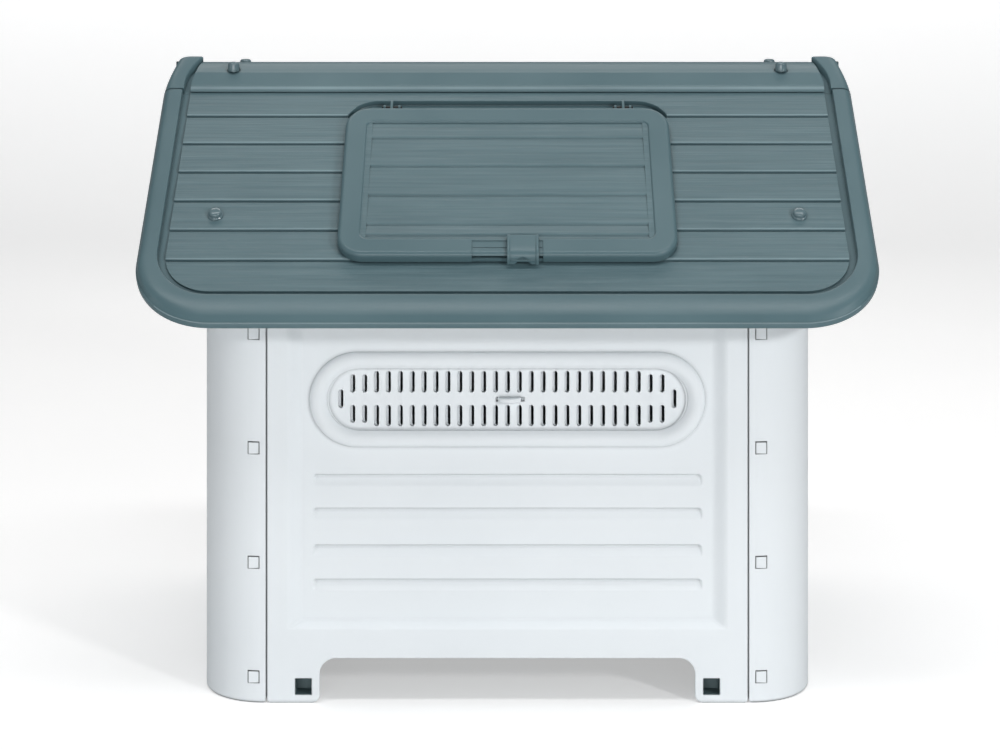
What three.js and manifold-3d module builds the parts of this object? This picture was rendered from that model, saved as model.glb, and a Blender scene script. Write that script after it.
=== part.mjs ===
// A calf hutch: a gabled shelter of moulded plastic panels, with a lift-up roof hatch, sliding vent
// shutters and a wire gate.
// Millimetres, +Z up. X runs along the ridge with the gate at +X, the hatch is on the -Y slope, and
// the origin is on the ground under the middle of the ridge.
import * as THREE from "three";
import { mergeVertices } from "three/addons/utils/BufferGeometryUtils.js";
import Module from "manifold-3d";

const wasm = await Module();
wasm.setup();

// ---------------------------------------------------------------- driving dimensions
const RUNNING_GAP = 0.3; // between a piece and its neighbour
const SHEET = 4; // wall thickness of the large mouldings
const BEYOND = 10; // how far a cutting solid sticks out of the piece it cuts
const FAR = 400; // further than any piece reaches
const WELD = 1; // how far joined solids go into each other

const wall = {
  halfLength: 309.5, // outside of a gable wall
  halfWidth: 245, // outside of a side wall
  cornerRadius: 64,
  seamX: 242, // where a gable wall's return meets a side wall
  seamGap: 1.4,
  sideTop: 418,
  topH: -SHEET - 0.5, // the gable walls stop just under the roof panels
  apexZ: 604,
};
const floor = {
  halfLength: 298,
  halfWidth: 226,
  cornerRadius: 52,
  thickness: 3,
  ribY: 120,
  ribHalf: 260,
  ribFoot: 47,
};
const ledge = { top: 55.5, thickness: 4.5, sideHalf: 200, endHalf: 150 }; // carries the floor panel
const boltLedge = { thickness: 4, innerX: 284, inset: 34, foot: 400 }; // under the roof, in a gable wall
// The recessed field of a side wall, from its outside edge to its floor.
const field = { halfEdge: 228, halfFloor: 208, bottomEdge: 74.5, bottomFloor: 81, depth: 8 };
const grooves = { tops: [228, 194, 157, 122.5], height: 13, half: 196, endHalf: 150, depth: 5, endDepth: 2 };
// Windows in a gable wall's returns, and the side wall's tabs that snap into them.
const snap = { x0: 249, x1: 261, half: 6.5, pitch: 115, first: 26, rows: 4, gap: 0.5 };
const flange = { thickness: 3, innerX: 232, endX: 268, drop: 8 }; // carries the snap tabs
const peg = { x: 205, z: 16.05, half: 8.3, wall: 2.5, depth: 24 }; // a square hole in each foot
const roof = {
  slope: THREE.MathUtils.degToRad(38),
  lipY: 38, // the ridge cap's lower edge, where the planks begin
  lipZ: 592,
  halfLength: 375,
  drop: 327, // from the lip down the slope to the outside of the eave
  cornerRadius: 82,
  rimInner: 354, // half length inside the raised rim
  rimInnerDrop: 290,
  rimHeight: 6,
  rimRadius: 56, // of its inner lower corners
  rimWall: 3,
  skirtDepth: 6,
  plankEnd: 346,
  plankLines: [36.6, 78.3, 120.1, 161.5, 202.5, 243.5],
  lineDepth: 1.2,
  channelDepth: 1.8, // round the ends of the planks
  tongueHalf: 337, // the upper edge goes under the ridge cap
  tongueReach: 14,
};
const hatch = {
  halfLength: 173,
  top: 34, // distances down the slope from the lip
  bottom: 247,
  height: 12,
  cornerRadius: 27,
  skirt: 3,
  fieldHalf: 150,
  fieldTop: 55.5,
  fieldBottom: 224.4,
  fieldDepth: 1.7,
  hingeX: 125,
  hingeT: 24,
  hingeH: 0,
  armHalf: 1.3,
};
const pin = { radius: 1.6, half: 11, play: 0.05, armPlay: 0.3 };
const lug = { half: 8, thickness: 2.4, radius: 3 };
const gutter = { foot: -9, thickness: 3, upper: 12 }; // the sunken strip the hinges stand in
const opening = { half: 150, top: 42, bottom: 232, radius: 15, collar: 3, collarTop: 5 };
const recess = { top: 14, bottom: 110, radius: 35 }; // lets the hatch's upper edge turn
// The hatch's slide, its track through the hatch's front lip, and the rib it locks under.
const latch = { x0: -0.5, x1: 31.7, neckInset: 4, scoopT: 263, scoopRadius: 14 };
const latchRib = { x0: -33, x1: -4, reach: 238.5, h0: 3 };
const leg = { t0: 239, t1: 241.5, toe: 235.8, foot: 0.9, toeTop: 2.6 };
const track = { half: 36, h0: 5, h1: 8.2, lower: 0.8, top: 228, play: 0.4 };
const vent = {
  centreZ: 303,
  plateHalf: 180, // half length of the recessed plate
  plateHalfHeight: 31.3,
  ringHalf: 197.6,
  ringHalfHeight: 48,
  pitch: 12,
  columns: 13, // on each side of the middle column
  slotWidth: 5,
  slotLow: 275.4, // foot of the lower row and head of the upper one
  slotHigh: 331.2,
  rowGap: [296.9, 309.3],
  endSlotX: 168,
  endSlot: [293.6, 312.6],
  endShort: 3.4, // the two outermost columns are shorter at each end
};
const shutter = {
  thickness: 2,
  halfHeight: 33.6,
  halfLength: 176,
  slotShift: 2.4, // half closed at rest: its slots stand this far to the right of the wall's
  travel: [-2.2, 3.2], // to fully open and to closed
};
const rail = { half: 188, thickness: 3.5, lip: 4, depth: 5, slot: 2.8 }; // a shutter slides between two
const knob = { x0: -9.4, x1: 14, z0: 301.2, z1: 304.1, reach: 9 };
const arch = { halfWidth: 188.5, endHalf: 120, top: 44.7, radius: 16 };
const doorway = { halfWidth: 135, sill: 62, springZ: 290, collar: 3, collarDepth: 10 };
const gate = { x: 308, halfWidth: 128, bottom: 66, railZ: 180, wire: 3, bar: 2, barPitch: 29, columns: 4 };
const gateLatch = { z: 240, radius: 3, start: 76, end: 146, knob0: 91.9, knob1: 95.4, knobReach: 14 };
const bracket = { z: [120, 260], half: 9, back: 6, front: 5.5 };
const keeper = { y0: 149, y1: 162, half: 12, front: 7 };

const bolt = { shank: 2.5, clearance: 2.9, nutRadius: 4.1, bore: 2.7 };
const roofBolt = { x: 301, t: 182, flange: 8, head: 6.7, height: 6.5, length: 20, nut: 7 };
const ridgeBolt = { flange: 6.4, head: 6.2, height: 10.5, length: 29, nut: 6, nutFoot: 587, seatZ: 613 };
const ridgeBoltPlaces = [
  [301, -18],
  [-301, -18],
  [292, 18],
  [-292, 18],
];
const ridgeBoss = { radius: 9.5, foot: 608.5, top: 622, seatRadius: 7.2 };

// ---------------------------------------------------------------- materials
const plastic = (color, roughness) => new THREE.MeshStandardMaterial({ color, roughness, metalness: 0 });
const wallPlastic = plastic(0xe5e9ec, 0.6);
const roofPlastic = plastic(0x64797e, 0.5);
const floorPlastic = plastic(0x5d6f74, 0.6);
const boltPlastic = plastic(0x4f666c, 0.4);
const gateSteel = new THREE.MeshStandardMaterial({ color: 0x6b7173, roughness: 0.4, metalness: 0.7 });

// ---------------------------------------------------------------- solids
// A closed geometry as a solid that faces out.
function solid(geometry) {
  const bare = geometry.index ? geometry.toNonIndexed() : geometry;
  bare.deleteAttribute("normal");
  bare.deleteAttribute("uv");
  const merged = mergeVertices(bare, 1e-3);
  const corners = merged.index.array;
  const build = (triVerts) =>
    new wasm.Manifold(
      new wasm.Mesh({ numProp: 3, vertProperties: merged.attributes.position.array, triVerts }),
    );
  const made = build(new Uint32Array(corners));
  return made.volume() > 0 ? made : build(new Uint32Array(corners).reverse());
}

const union = (...solids) => solids.reduce((sum, next) => sum.add(next));
const cut = (body, ...tools) => tools.reduce((left, tool) => left.subtract(tool), body);

function box(x0, x1, y0, y1, z0, z1) {
  const geometry = new THREE.BoxGeometry(x1 - x0, y1 - y0, z1 - z0);
  return solid(geometry.translate((x0 + x1) / 2, (y0 + y1) / 2, (z0 + z1) / 2));
}

// A shape in X and Y, raised from z0 to z1.
function prismZ(shape, z0, z1, curveSegments = 4) {
  const geometry = new THREE.ExtrudeGeometry(shape, { depth: z1 - z0, bevelEnabled: false, curveSegments });
  return solid(geometry.translate(0, 0, z0));
}

// A shape in Y and Z, run along X from x0 to x1.
function prismX(shape, x0, x1, curveSegments = 4) {
  const geometry = new THREE.ExtrudeGeometry(shape, { depth: x1 - x0, bevelEnabled: false, curveSegments });
  const turn = new THREE.Matrix4().makeBasis(
    new THREE.Vector3(0, 1, 0),
    new THREE.Vector3(0, 0, 1),
    new THREE.Vector3(1, 0, 0),
  );
  return solid(geometry.applyMatrix4(turn).translate(x0, 0, 0));
}

// A shape in X and Z, run along Y from y0 to y1.
function prismY(shape, y0, y1, curveSegments = 4) {
  const geometry = new THREE.ExtrudeGeometry(shape, { depth: y1 - y0, bevelEnabled: false, curveSegments });
  return solid(geometry.rotateX(Math.PI / 2).translate(0, y1, 0));
}

// A round bar of the given radius along an axis, from one end to the other.
function rod(axis, centre, from, to, radius, segments = 8) {
  const geometry = new THREE.CylinderGeometry(radius, radius, to - from, segments);
  const middle = new THREE.Vector3(...centre);
  middle[axis] = (from + to) / 2;
  if (axis === "z") geometry.rotateX(Math.PI / 2);
  if (axis === "x") geometry.rotateZ(Math.PI / 2);
  return solid(geometry.translate(middle.x, middle.y, middle.z));
}

// A solid of revolution about Z, from [radius, z] points that start and end on the axis.
function turned(profile, segments = 8) {
  const points = profile.map(([radius, z]) => new THREE.Vector2(radius, z));
  return solid(new THREE.LatheGeometry(points, segments).rotateX(Math.PI / 2));
}

// A round wire along a smooth line through the points.
function wire(points, radius, steps) {
  const extrudePath = new THREE.CatmullRomCurve3(points.map((p) => new THREE.Vector3(...p)));
  const section = new THREE.Shape().absarc(0, 0, radius, 0, 2 * Math.PI);
  return solid(new THREE.ExtrudeGeometry(section, { extrudePath, steps, curveSegments: 4 }));
}

const polygon = (points) => new THREE.Shape(points.map(([u, v]) => new THREE.Vector2(u, v)));

function roundedRectangle(u0, u1, v0, v1, radius) {
  const shape = new THREE.Shape();
  shape.absarc(u1 - radius, v1 - radius, radius, 0, Math.PI / 2);
  shape.absarc(u0 + radius, v1 - radius, radius, Math.PI / 2, Math.PI);
  shape.absarc(u0 + radius, v0 + radius, radius, Math.PI, 1.5 * Math.PI);
  shape.absarc(u1 - radius, v0 + radius, radius, 1.5 * Math.PI, 2 * Math.PI);
  return shape;
}

// ---------------------------------------------------------------- assembly
const hutch = new THREE.Group();
hutch.name = "calf_hutch";

// Shows a solid as one named mesh in a group.
function place(parent, name, body, material) {
  const { vertProperties, triVerts } = body.getMesh();
  const geometry = new THREE.BufferGeometry();
  geometry.setAttribute("position", new THREE.BufferAttribute(new Float32Array(vertProperties), 3));
  geometry.setIndex(new THREE.BufferAttribute(new Uint32Array(triVerts), 1));
  geometry.computeVertexNormals();
  const mesh = new THREE.Mesh(geometry, material);
  mesh.name = name;
  parent.add(mesh);
  return mesh;
}

// A group whose local X runs along the ridge, whose -Y runs down the slope from the ridge cap's lip
// and whose Z stands square to the planks. The right side is the left one turned round.
function slopeGroup(side) {
  const turnedSide = new THREE.Group();
  turnedSide.rotation.z = side === "left" ? 0 : Math.PI;
  const slope = new THREE.Group();
  slope.position.set(0, -roof.lipY, roof.lipZ);
  slope.rotation.x = roof.slope;
  turnedSide.add(slope);
  hutch.add(turnedSide);
  return slope;
}

function sideGroup(side) {
  const group = new THREE.Group();
  group.rotation.z = side === "left" ? 0 : Math.PI;
  hutch.add(group);
  return group;
}

// Height above ground, over distance y from the ridge line, of the plane that lies h over the planks.
function slopeZ(y, h) {
  const { slope, lipY, lipZ } = roof;
  return lipZ + h / Math.cos(slope) - (Math.abs(y) - lipY) * Math.tan(slope);
}

// The [y, z] of a point on the +Y slope, t down the slope from the lip and h over the planks.
function onSlope(t, h) {
  const { slope, lipY, lipZ } = roof;
  return [
    lipY + t * Math.cos(slope) + h * Math.sin(slope),
    lipZ - t * Math.sin(slope) + h * Math.cos(slope),
  ];
}

// Everything under the plane that lies h over the planks, with its ridge cut flat at topZ.
function underRoof(h, topZ) {
  const shoulder = roof.lipY - (topZ - slopeZ(roof.lipY, h)) / Math.tan(roof.slope);
  const outline = [
    [-FAR, -BEYOND],
    [FAR, -BEYOND],
    [FAR, slopeZ(FAR, h)],
    [shoulder, topZ],
    [-shoulder, topZ],
    [-FAR, slopeZ(FAR, h)],
  ];
  return prismX(polygon(outline), -FAR, FAR);
}

// ---------------------------------------------------------------- walls
const snapHeights = Array.from({ length: snap.rows }, (_, row) => snap.first + row * snap.pitch);

// A quarter turn of wall at the +X, -Y corner with a straight stub at each end, in plan.
function cornerBand(outset, thickness, stubX, stubY) {
  const { halfLength, halfWidth, cornerRadius } = wall;
  const centreX = halfLength - cornerRadius;
  const centreY = -halfWidth + cornerRadius;
  const outer = cornerRadius - outset;
  const inner = outer - thickness;
  const shape = new THREE.Shape();
  shape.moveTo(stubX, centreY - outer);
  shape.absarc(centreX, centreY, outer, -Math.PI / 2, 0);
  shape.lineTo(centreX + outer, stubY);
  shape.lineTo(centreX + inner, stubY);
  shape.absarc(centreX, centreY, inner, 0, -Math.PI / 2, true);
  shape.lineTo(stubX, centreY - inner);
  return shape;
}

// The opening under a wall between its feet: level at the top, with rounded upper corners.
function archCut(halfWidth) {
  const shape = new THREE.Shape();
  const { top, radius } = arch;
  shape.moveTo(-halfWidth - 1, -WELD);
  shape.lineTo(-halfWidth, top - radius);
  shape.absarc(-halfWidth + radius, top - radius, radius, Math.PI, Math.PI / 2, true);
  shape.absarc(halfWidth - radius, top - radius, radius, Math.PI / 2, 0, true);
  shape.lineTo(halfWidth + 1, -WELD);
  return shape;
}

// A gable wall at +X: the end face, both rounded corners and their returns along the side walls.
function gableShell() {
  const { halfLength, halfWidth, cornerRadius, seamX, seamGap, topH, apexZ } = wall;
  const straight = halfWidth - cornerRadius;
  const above = apexZ + BEYOND;
  const band = prismZ(cornerBand(0, SHEET, seamX + seamGap / 2, -straight + WELD), 0, above, 6);
  const face = box(halfLength - SHEET, halfLength, -straight, straight, 0, above);
  const skin = union(band, band.mirror([0, 1, 0]), face).intersect(underRoof(topH, apexZ));
  const inner = halfLength - WELD;
  const reach = halfWidth - boltLedge.inset;
  const underTop = box(boltLedge.innerX, inner, -reach, reach, boltLedge.foot, above).intersect(
    underRoof(topH, apexZ),
  );
  const boltStrip = cut(underTop, underRoof(topH - boltLedge.thickness, apexZ - boltLedge.thickness));
  const underFloor = ledge.top - ledge.thickness;
  const floorStrip = box(halfLength - 20, inner, -ledge.endHalf, ledge.endHalf, underFloor, ledge.top);
  const windows = snapHeights.map((z) =>
    box(snap.x0, snap.x1, -halfWidth - BEYOND, halfWidth + BEYOND, z - snap.half, z + snap.half),
  );
  const base = prismX(archCut(arch.endHalf), halfLength - BEYOND, halfLength + BEYOND, 4);
  return cut(union(skin, boltStrip, floorStrip), base, ...windows, ...boltHoles());
}

// Clearance holes through the bolt ledge of a gable wall at +X.
function boltHoles() {
  const ridgeHoles = ridgeBoltPlaces
    .filter(([x]) => x > 0)
    .map(([x, y]) => rod("z", [x, y, 0], ridgeBolt.nutFoot - BEYOND, wall.apexZ + BEYOND, bolt.clearance));
  const slopeHoles = ["left", "right"].map((side) => {
    const hole = rod("z", [roofBolt.x, -roofBolt.t, 0], -roofBolt.length - BEYOND, BEYOND, bolt.clearance);
    const tilted = hole
      .rotate([THREE.MathUtils.radToDeg(roof.slope), 0, 0])
      .translate([0, -roof.lipY, roof.lipZ]);
    return side === "left" ? tilted : tilted.mirror([0, 1, 0]);
  });
  return [...ridgeHoles, ...slopeHoles];
}

function doorwayShape(halfWidth, sill) {
  const shape = new THREE.Shape();
  shape.moveTo(-halfWidth, sill);
  shape.lineTo(halfWidth, sill);
  shape.absarc(0, doorway.springZ, halfWidth, 0, Math.PI);
  return shape;
}

// The gable wall with the doorway, which has a collar round it on the inside.
function frontGable() {
  const { halfLength } = wall;
  const { halfWidth, sill, collar, collarDepth } = doorway;
  const collarShape = doorwayShape(halfWidth + collar, sill - collar);
  const collarSolid = prismX(collarShape, halfLength - SHEET - collarDepth, halfLength - WELD, 10);
  const hole = prismX(doorwayShape(halfWidth, sill), halfLength - 4 * BEYOND, halfLength + BEYOND, 10);
  return cut(union(gableShell(), collarSolid), hole);
}

// The closed gable wall, with the side walls' grooves in its outside.
function rearGable() {
  const { halfLength } = wall;
  const { tops, height, endHalf, endDepth } = grooves;
  const cuts = tops.map((top) =>
    box(halfLength - endDepth, halfLength + BEYOND, -endHalf, endHalf, top - height, top),
  );
  return cut(gableShell(), ...cuts).mirror([1, 0, 0]);
}

// Depths on the left side wall, from its outside at -Y inwards.
const OUTSIDE = -wall.halfWidth;
const FIELD_Y = OUTSIDE + field.depth;
const VENT_Y = FIELD_Y + 2; // the recessed plate of the vent
const BACK_Y = FIELD_Y + 6;
const SHUTTER_Y = BACK_Y + 0.4;

// The slots of a vent, as solids that run from y0 to y1: two rows, and one slot at each rounded end.
// A shutter's two rows are joined into one, apart from beside its knob.
function ventSlots(y0, y1, joined = false) {
  const { pitch, columns, slotWidth, slotLow, slotHigh, endSlotX, endSlot, endShort, rowGap } = vent;
  const slot = (x, low, high) => box(x - slotWidth / 2, x + slotWidth / 2, y0, y1, low, high);
  const slots = [slot(-endSlotX, ...endSlot), slot(endSlotX, ...endSlot)];
  for (let column = -columns; column <= columns; column++) {
    const short = Math.abs(column) >= columns - 1 ? endShort : 0;
    const low = slotLow + short;
    const high = slotHigh - short;
    const x = column * pitch;
    if (joined && Math.abs(column) > 1) slots.push(slot(x, low, high));
    else slots.push(slot(x, low, rowGap[0]), slot(x, rowGap[1], high));
  }
  return slots;
}

// A square bar along Y round a peg hole, on the side of the given sign, grown on every side.
function pegBar(sign, grow, y0, y1) {
  const half = peg.half + grow;
  return box(sign * peg.x - half, sign * peg.x + half, y0, y1, peg.z - half, peg.z + half);
}

// The recess of a side wall, open at its top, with slanting sides and a slanting lower edge.
function fieldPocket() {
  const { halfEdge, halfFloor, bottomEdge, bottomFloor } = field;
  const before = OUTSIDE - BEYOND;
  const above = wall.sideTop + BEYOND;
  const plan = polygon([
    [-halfEdge, OUTSIDE],
    [-halfFloor, FIELD_Y],
    [halfFloor, FIELD_Y],
    [halfEdge, OUTSIDE],
    [halfEdge, before],
    [-halfEdge, before],
  ]);
  const side = polygon([
    [before, bottomEdge],
    [OUTSIDE, bottomEdge],
    [FIELD_Y, bottomFloor],
    [FIELD_Y, above],
    [before, above],
  ]);
  return prismZ(plan, bottomEdge - BEYOND, above).intersect(prismX(side, -FAR, FAR));
}

// The flange that goes behind a gable wall's return at +X, with tabs that fill the return's windows.
function snapFlange() {
  const { seamX, seamGap, sideTop, halfWidth, cornerRadius } = wall;
  const { thickness, innerX, endX, drop } = flange;
  const gap = SHEET + 0.4;
  const bandPlan = cornerBand(gap, thickness, innerX, -halfWidth + cornerRadius + WELD);
  const band = prismZ(bandPlan, drop, sideTop - drop, 6).intersect(box(0, endX, -halfWidth, 0, 0, sideTop));
  const linkBack = OUTSIDE + gap + thickness;
  const link = box(innerX, seamX - seamGap / 2, OUTSIDE + SHEET - 0.5, linkBack, drop, sideTop - drop);
  const tabX = [snap.x0 + snap.gap, snap.x1 - snap.gap];
  const tabHalf = snap.half - snap.gap;
  const tabSunk = 1.4; // below the outside of the wall
  const tabs = snapHeights.map((z) =>
    box(...tabX, OUTSIDE + tabSunk, OUTSIDE + gap + tabSunk, z - tabHalf, z + tabHalf),
  );
  return union(band, link, ...tabs);
}

// The two rails behind a vent that its shutter slides between.
function shutterRails() {
  return [-1, 1].map((sign) => {
    const near = sign * (shutter.halfHeight + 0.4) + vent.centreZ;
    const outer = near + sign * rail.thickness;
    const lip = near - sign * rail.lip;
    const back = BACK_Y + rail.depth;
    const across = (y0, z) => box(-rail.half, rail.half, y0, back, Math.min(z, outer), Math.max(z, outer));
    return union(across(BACK_Y - WELD, near), across(BACK_Y + rail.slot, lip));
  });
}

function sideWall() {
  const { seamX, seamGap, sideTop } = wall;
  const end = seamX - seamGap / 2;
  const backingHalf = field.halfEdge - 2;
  const skin = box(-end, end, OUTSIDE, OUTSIDE + SHEET, 0, sideTop);
  const backing = box(-backingHalf, backingHalf, OUTSIDE + SHEET - WELD, BACK_Y, 66, sideTop);
  const moulding = cut(union(skin, backing), fieldPocket());
  const grooveCuts = grooves.tops.map((top) =>
    box(-grooves.half, grooves.half, FIELD_Y - BEYOND, FIELD_Y + 3.5, top - grooves.height, top),
  );
  const stadium = (half, halfHeight) =>
    roundedRectangle(-half, half, vent.centreZ - halfHeight, vent.centreZ + halfHeight, halfHeight - 0.01);
  const ring = prismY(stadium(vent.ringHalf, vent.ringHalfHeight), FIELD_Y - 6.5, FIELD_Y + WELD);
  const plate = prismY(stadium(vent.plateHalf, vent.plateHalfHeight), FIELD_Y - 2 * BEYOND, VENT_Y);
  const knobSlot = box(
    knob.x0 + shutter.travel[0] - RUNNING_GAP,
    knob.x1 + shutter.travel[1] + RUNNING_GAP,
    OUTSIDE,
    BACK_Y + BEYOND / 2,
    knob.z0 - 1,
    knob.z1 + 1,
  );
  const floorStrip = box(
    -ledge.sideHalf,
    ledge.sideHalf,
    OUTSIDE + SHEET - WELD,
    OUTSIDE + 17,
    ledge.top - ledge.thickness,
    ledge.top,
  );
  // A square peg hole in each foot runs through a square sleeve behind it.
  const pegHoles = [-1, 1].map((sign) => pegBar(sign, 0, OUTSIDE - BEYOND, OUTSIDE + peg.depth + WELD));
  const sleeves = [-1, 1].map((sign) => pegBar(sign, peg.wall, OUTSIDE + WELD, OUTSIDE + peg.depth));
  const snaps = snapFlange();
  return cut(
    union(moulding, ring, ...shutterRails(), floorStrip, snaps, snaps.mirror([1, 0, 0]), ...sleeves),
    plate,
    ...grooveCuts,
    ...ventSlots(OUTSIDE, BACK_Y + 2),
    knobSlot,
    prismY(archCut(arch.halfWidth), OUTSIDE - BEYOND, OUTSIDE + BEYOND, 4),
    ...pegHoles,
  );
}

function ventShutter() {
  const { thickness, halfHeight, halfLength, slotShift } = shutter;
  const back = SHUTTER_Y + thickness;
  const low = vent.centreZ - halfHeight;
  const plate = box(-halfLength, halfLength, SHUTTER_Y, back, low, low + 2 * halfHeight);
  const slots = ventSlots(SHUTTER_Y - WELD, back + WELD, true).map((slot) =>
    slot.translate([slotShift, 0, 0]),
  );
  // A half-moon thumb tab, which reaches out through the slot in the wall.
  const middle = (knob.x0 + knob.x1) / 2;
  const half = (knob.x1 - knob.x0) / 2;
  const tab = new THREE.Shape();
  tab.moveTo(knob.x1, SHUTTER_Y + WELD);
  tab.lineTo(knob.x0, SHUTTER_Y + WELD);
  tab.lineTo(knob.x0, VENT_Y - 1);
  tab.absellipse(middle, VENT_Y - 1, half, knob.reach - 1, Math.PI, 2 * Math.PI);
  return union(cut(plate, ...slots), prismZ(tab, knob.z0, knob.z1, 6));
}

function floorPanel() {
  const { halfLength, halfWidth, cornerRadius, thickness, ribY, ribHalf, ribFoot } = floor;
  const top = ledge.top + RUNNING_GAP + thickness;
  const plan = roundedRectangle(-halfLength, halfLength, -halfWidth, halfWidth, cornerRadius);
  const ribs = [-ribY, 0, ribY].map((y) => box(-ribHalf, ribHalf, y - 2, y + 2, ribFoot, top - WELD));
  return union(prismZ(plan, top - thickness, top, 6), ...ribs);
}

// ---------------------------------------------------------------- roof
// The outline of a roof panel on the slope, with round lower corners, from the height top to the eave.
function eaveOutline(halfLength, drop, radius, top) {
  const shape = new THREE.Shape();
  shape.moveTo(halfLength, top);
  shape.lineTo(-halfLength, top);
  shape.absarc(-halfLength + radius, -drop + radius, radius, Math.PI, 1.5 * Math.PI);
  shape.absarc(halfLength - radius, -drop + radius, radius, 1.5 * Math.PI, 2 * Math.PI);
  return shape;
}

// A solid with a rounded upper edge that fills the roof panel's outline, drawn in by inset.
function rimBody(inset, topH, startY) {
  const rounding = { bevelSize: 16, bevelThickness: 9, bevelSegments: 2 };
  const total = inset + rounding.bevelSize;
  const outline = eaveOutline(
    roof.halfLength - total,
    roof.drop - total,
    roof.cornerRadius - total,
    startY + rounding.bevelSize,
  );
  const depth = 30;
  const geometry = new THREE.ExtrudeGeometry(outline, { depth, curveSegments: 5, ...rounding });
  const body = solid(geometry.translate(0, 0, topH - depth - rounding.bevelThickness));
  return body.intersect(box(-FAR, FAR, -FAR, startY, -roof.skirtDepth, 2 * BEYOND));
}

// A tall solid that fills a half length inside the rim, with its eave and corner radius drawn out.
function insideRim(halfLength, dropGrow, radiusGrow = dropGrow) {
  const { rimInnerDrop, rimRadius } = roof;
  const outline = eaveOutline(halfLength, rimInnerDrop + dropGrow, rimRadius + radiusGrow, 60);
  return prismZ(outline, -3 * BEYOND, 3 * BEYOND, 5);
}

function roofPanel(withHatch) {
  const { rimInner, rimHeight, rimWall, plankEnd, plankLines, lineDepth, channelDepth } = roof;
  const inside = insideRim(rimInner, 0);
  const insideWall = insideRim(rimInner + rimWall, rimWall);
  const planks = insideRim(plankEnd, -5, -6);
  const shell = cut(rimBody(0, rimHeight, 0), inside);
  const hollow = cut(rimBody(rimWall, rimHeight - rimWall, -rimWall), insideWall);
  const plate = insideWall.intersect(box(-FAR, FAR, -FAR, 0, -SHEET, 0));
  const tongue = box(-roof.tongueHalf, roof.tongueHalf, -6, roof.tongueReach, -SHEET, 0);
  const channel = cut(inside, planks).intersect(box(-FAR, FAR, -FAR, 0, -channelDepth, BEYOND));
  const lines = plankLines.map((t) => box(-plankEnd, plankEnd, -t - 1.5, -t + 1, -lineDepth, BEYOND));
  const holes = [-1, 1].map((sign) =>
    rod("z", [sign * roofBolt.x, -roofBolt.t, 0], -2 * BEYOND, 2 * BEYOND, bolt.clearance),
  );
  const panel = cut(union(cut(shell, hollow), plate, tongue), channel, ...lines, ...holes);
  return withHatch ? hatchOpening(panel) : panel;
}

// A thin upright lug with a round head and the hole for a hinge pin.
function hingeLug(x) {
  const { hingeT, hingeH } = hatch;
  const { thickness, radius } = lug;
  const x0 = x - thickness / 2;
  const x1 = x + thickness / 2;
  const head = rod("x", [0, -hingeT, hingeH], x0, x1, radius);
  const foot = box(x0, x1, -hingeT - radius, -hingeT + radius, gutter.foot + WELD, hingeH);
  return cut(union(head, foot), rod("x", [0, -hingeT, hingeH], x - 5, x + 5, pin.radius + pin.play));
}

// Cuts the roof hatch's opening with its collar, hinge gutter, hinge lugs and the latch's rib.
function hatchOpening(panel) {
  const { halfLength, hingeX } = hatch;
  const { half, top, bottom, radius, collar, collarTop } = opening;
  const gutterBody = box(-halfLength, halfLength, -top, -gutter.upper, gutter.foot, -WELD);
  const reach = halfLength + 1;
  const recessPlan = roundedRectangle(-reach, reach, -recess.bottom, -recess.top, recess.radius);
  const recessBody = prismZ(recessPlan, gutter.foot + gutter.thickness, 2 * BEYOND).intersect(
    box(-FAR, FAR, -top + collar, 0, -2 * BEYOND, 2 * BEYOND),
  );
  const outer = half + collar;
  const collarPlan = roundedRectangle(-outer, outer, -bottom - collar, -top + collar, radius + collar);
  const collarBody = prismZ(collarPlan, -SHEET, collarTop, 2);
  const hole = prismZ(roundedRectangle(-half, half, -bottom, -top, radius), -2 * BEYOND, 2 * BEYOND, 2);
  const lugs = [-hingeX, hingeX].flatMap((x) => [hingeLug(x - lug.half), hingeLug(x + lug.half)]);
  const rib = box(latchRib.x0, latchRib.x1, -latchRib.reach, -bottom, latchRib.h0, collarTop);
  return cut(union(cut(union(panel, gutterBody), recessBody), collarBody, rib, ...lugs), hole);
}

// The hatch's outline on the slope, drawn in by inset.
function hatchPlan(inset) {
  const { halfLength, top, bottom, cornerRadius } = hatch;
  const half = halfLength - inset;
  return roundedRectangle(-half, half, -bottom + inset, -top - inset, cornerRadius - inset);
}

// A thin upright arm that reaches from under the hatch to a hinge pin. Its corner is cut off so that
// it clears the step above the hinge as the hatch swings up.
function hingeArm(x) {
  const { top, hingeT, hingeH, armHalf } = hatch;
  const root = -top - 4;
  const tip = -hingeT + 3.4;
  const outline = polygon([
    [root, hingeH - 2],
    [-hingeT - 2, hingeH - 3.2],
    [-hingeT + 2, hingeH - 3.2],
    [tip, hingeH - 1.5],
    [tip, hingeH + 8.4],
    [-hingeT, hingeH + 9.1],
    [root, hingeH + 9.1],
  ]);
  return prismX(outline, x - armHalf, x + armHalf);
}

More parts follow.
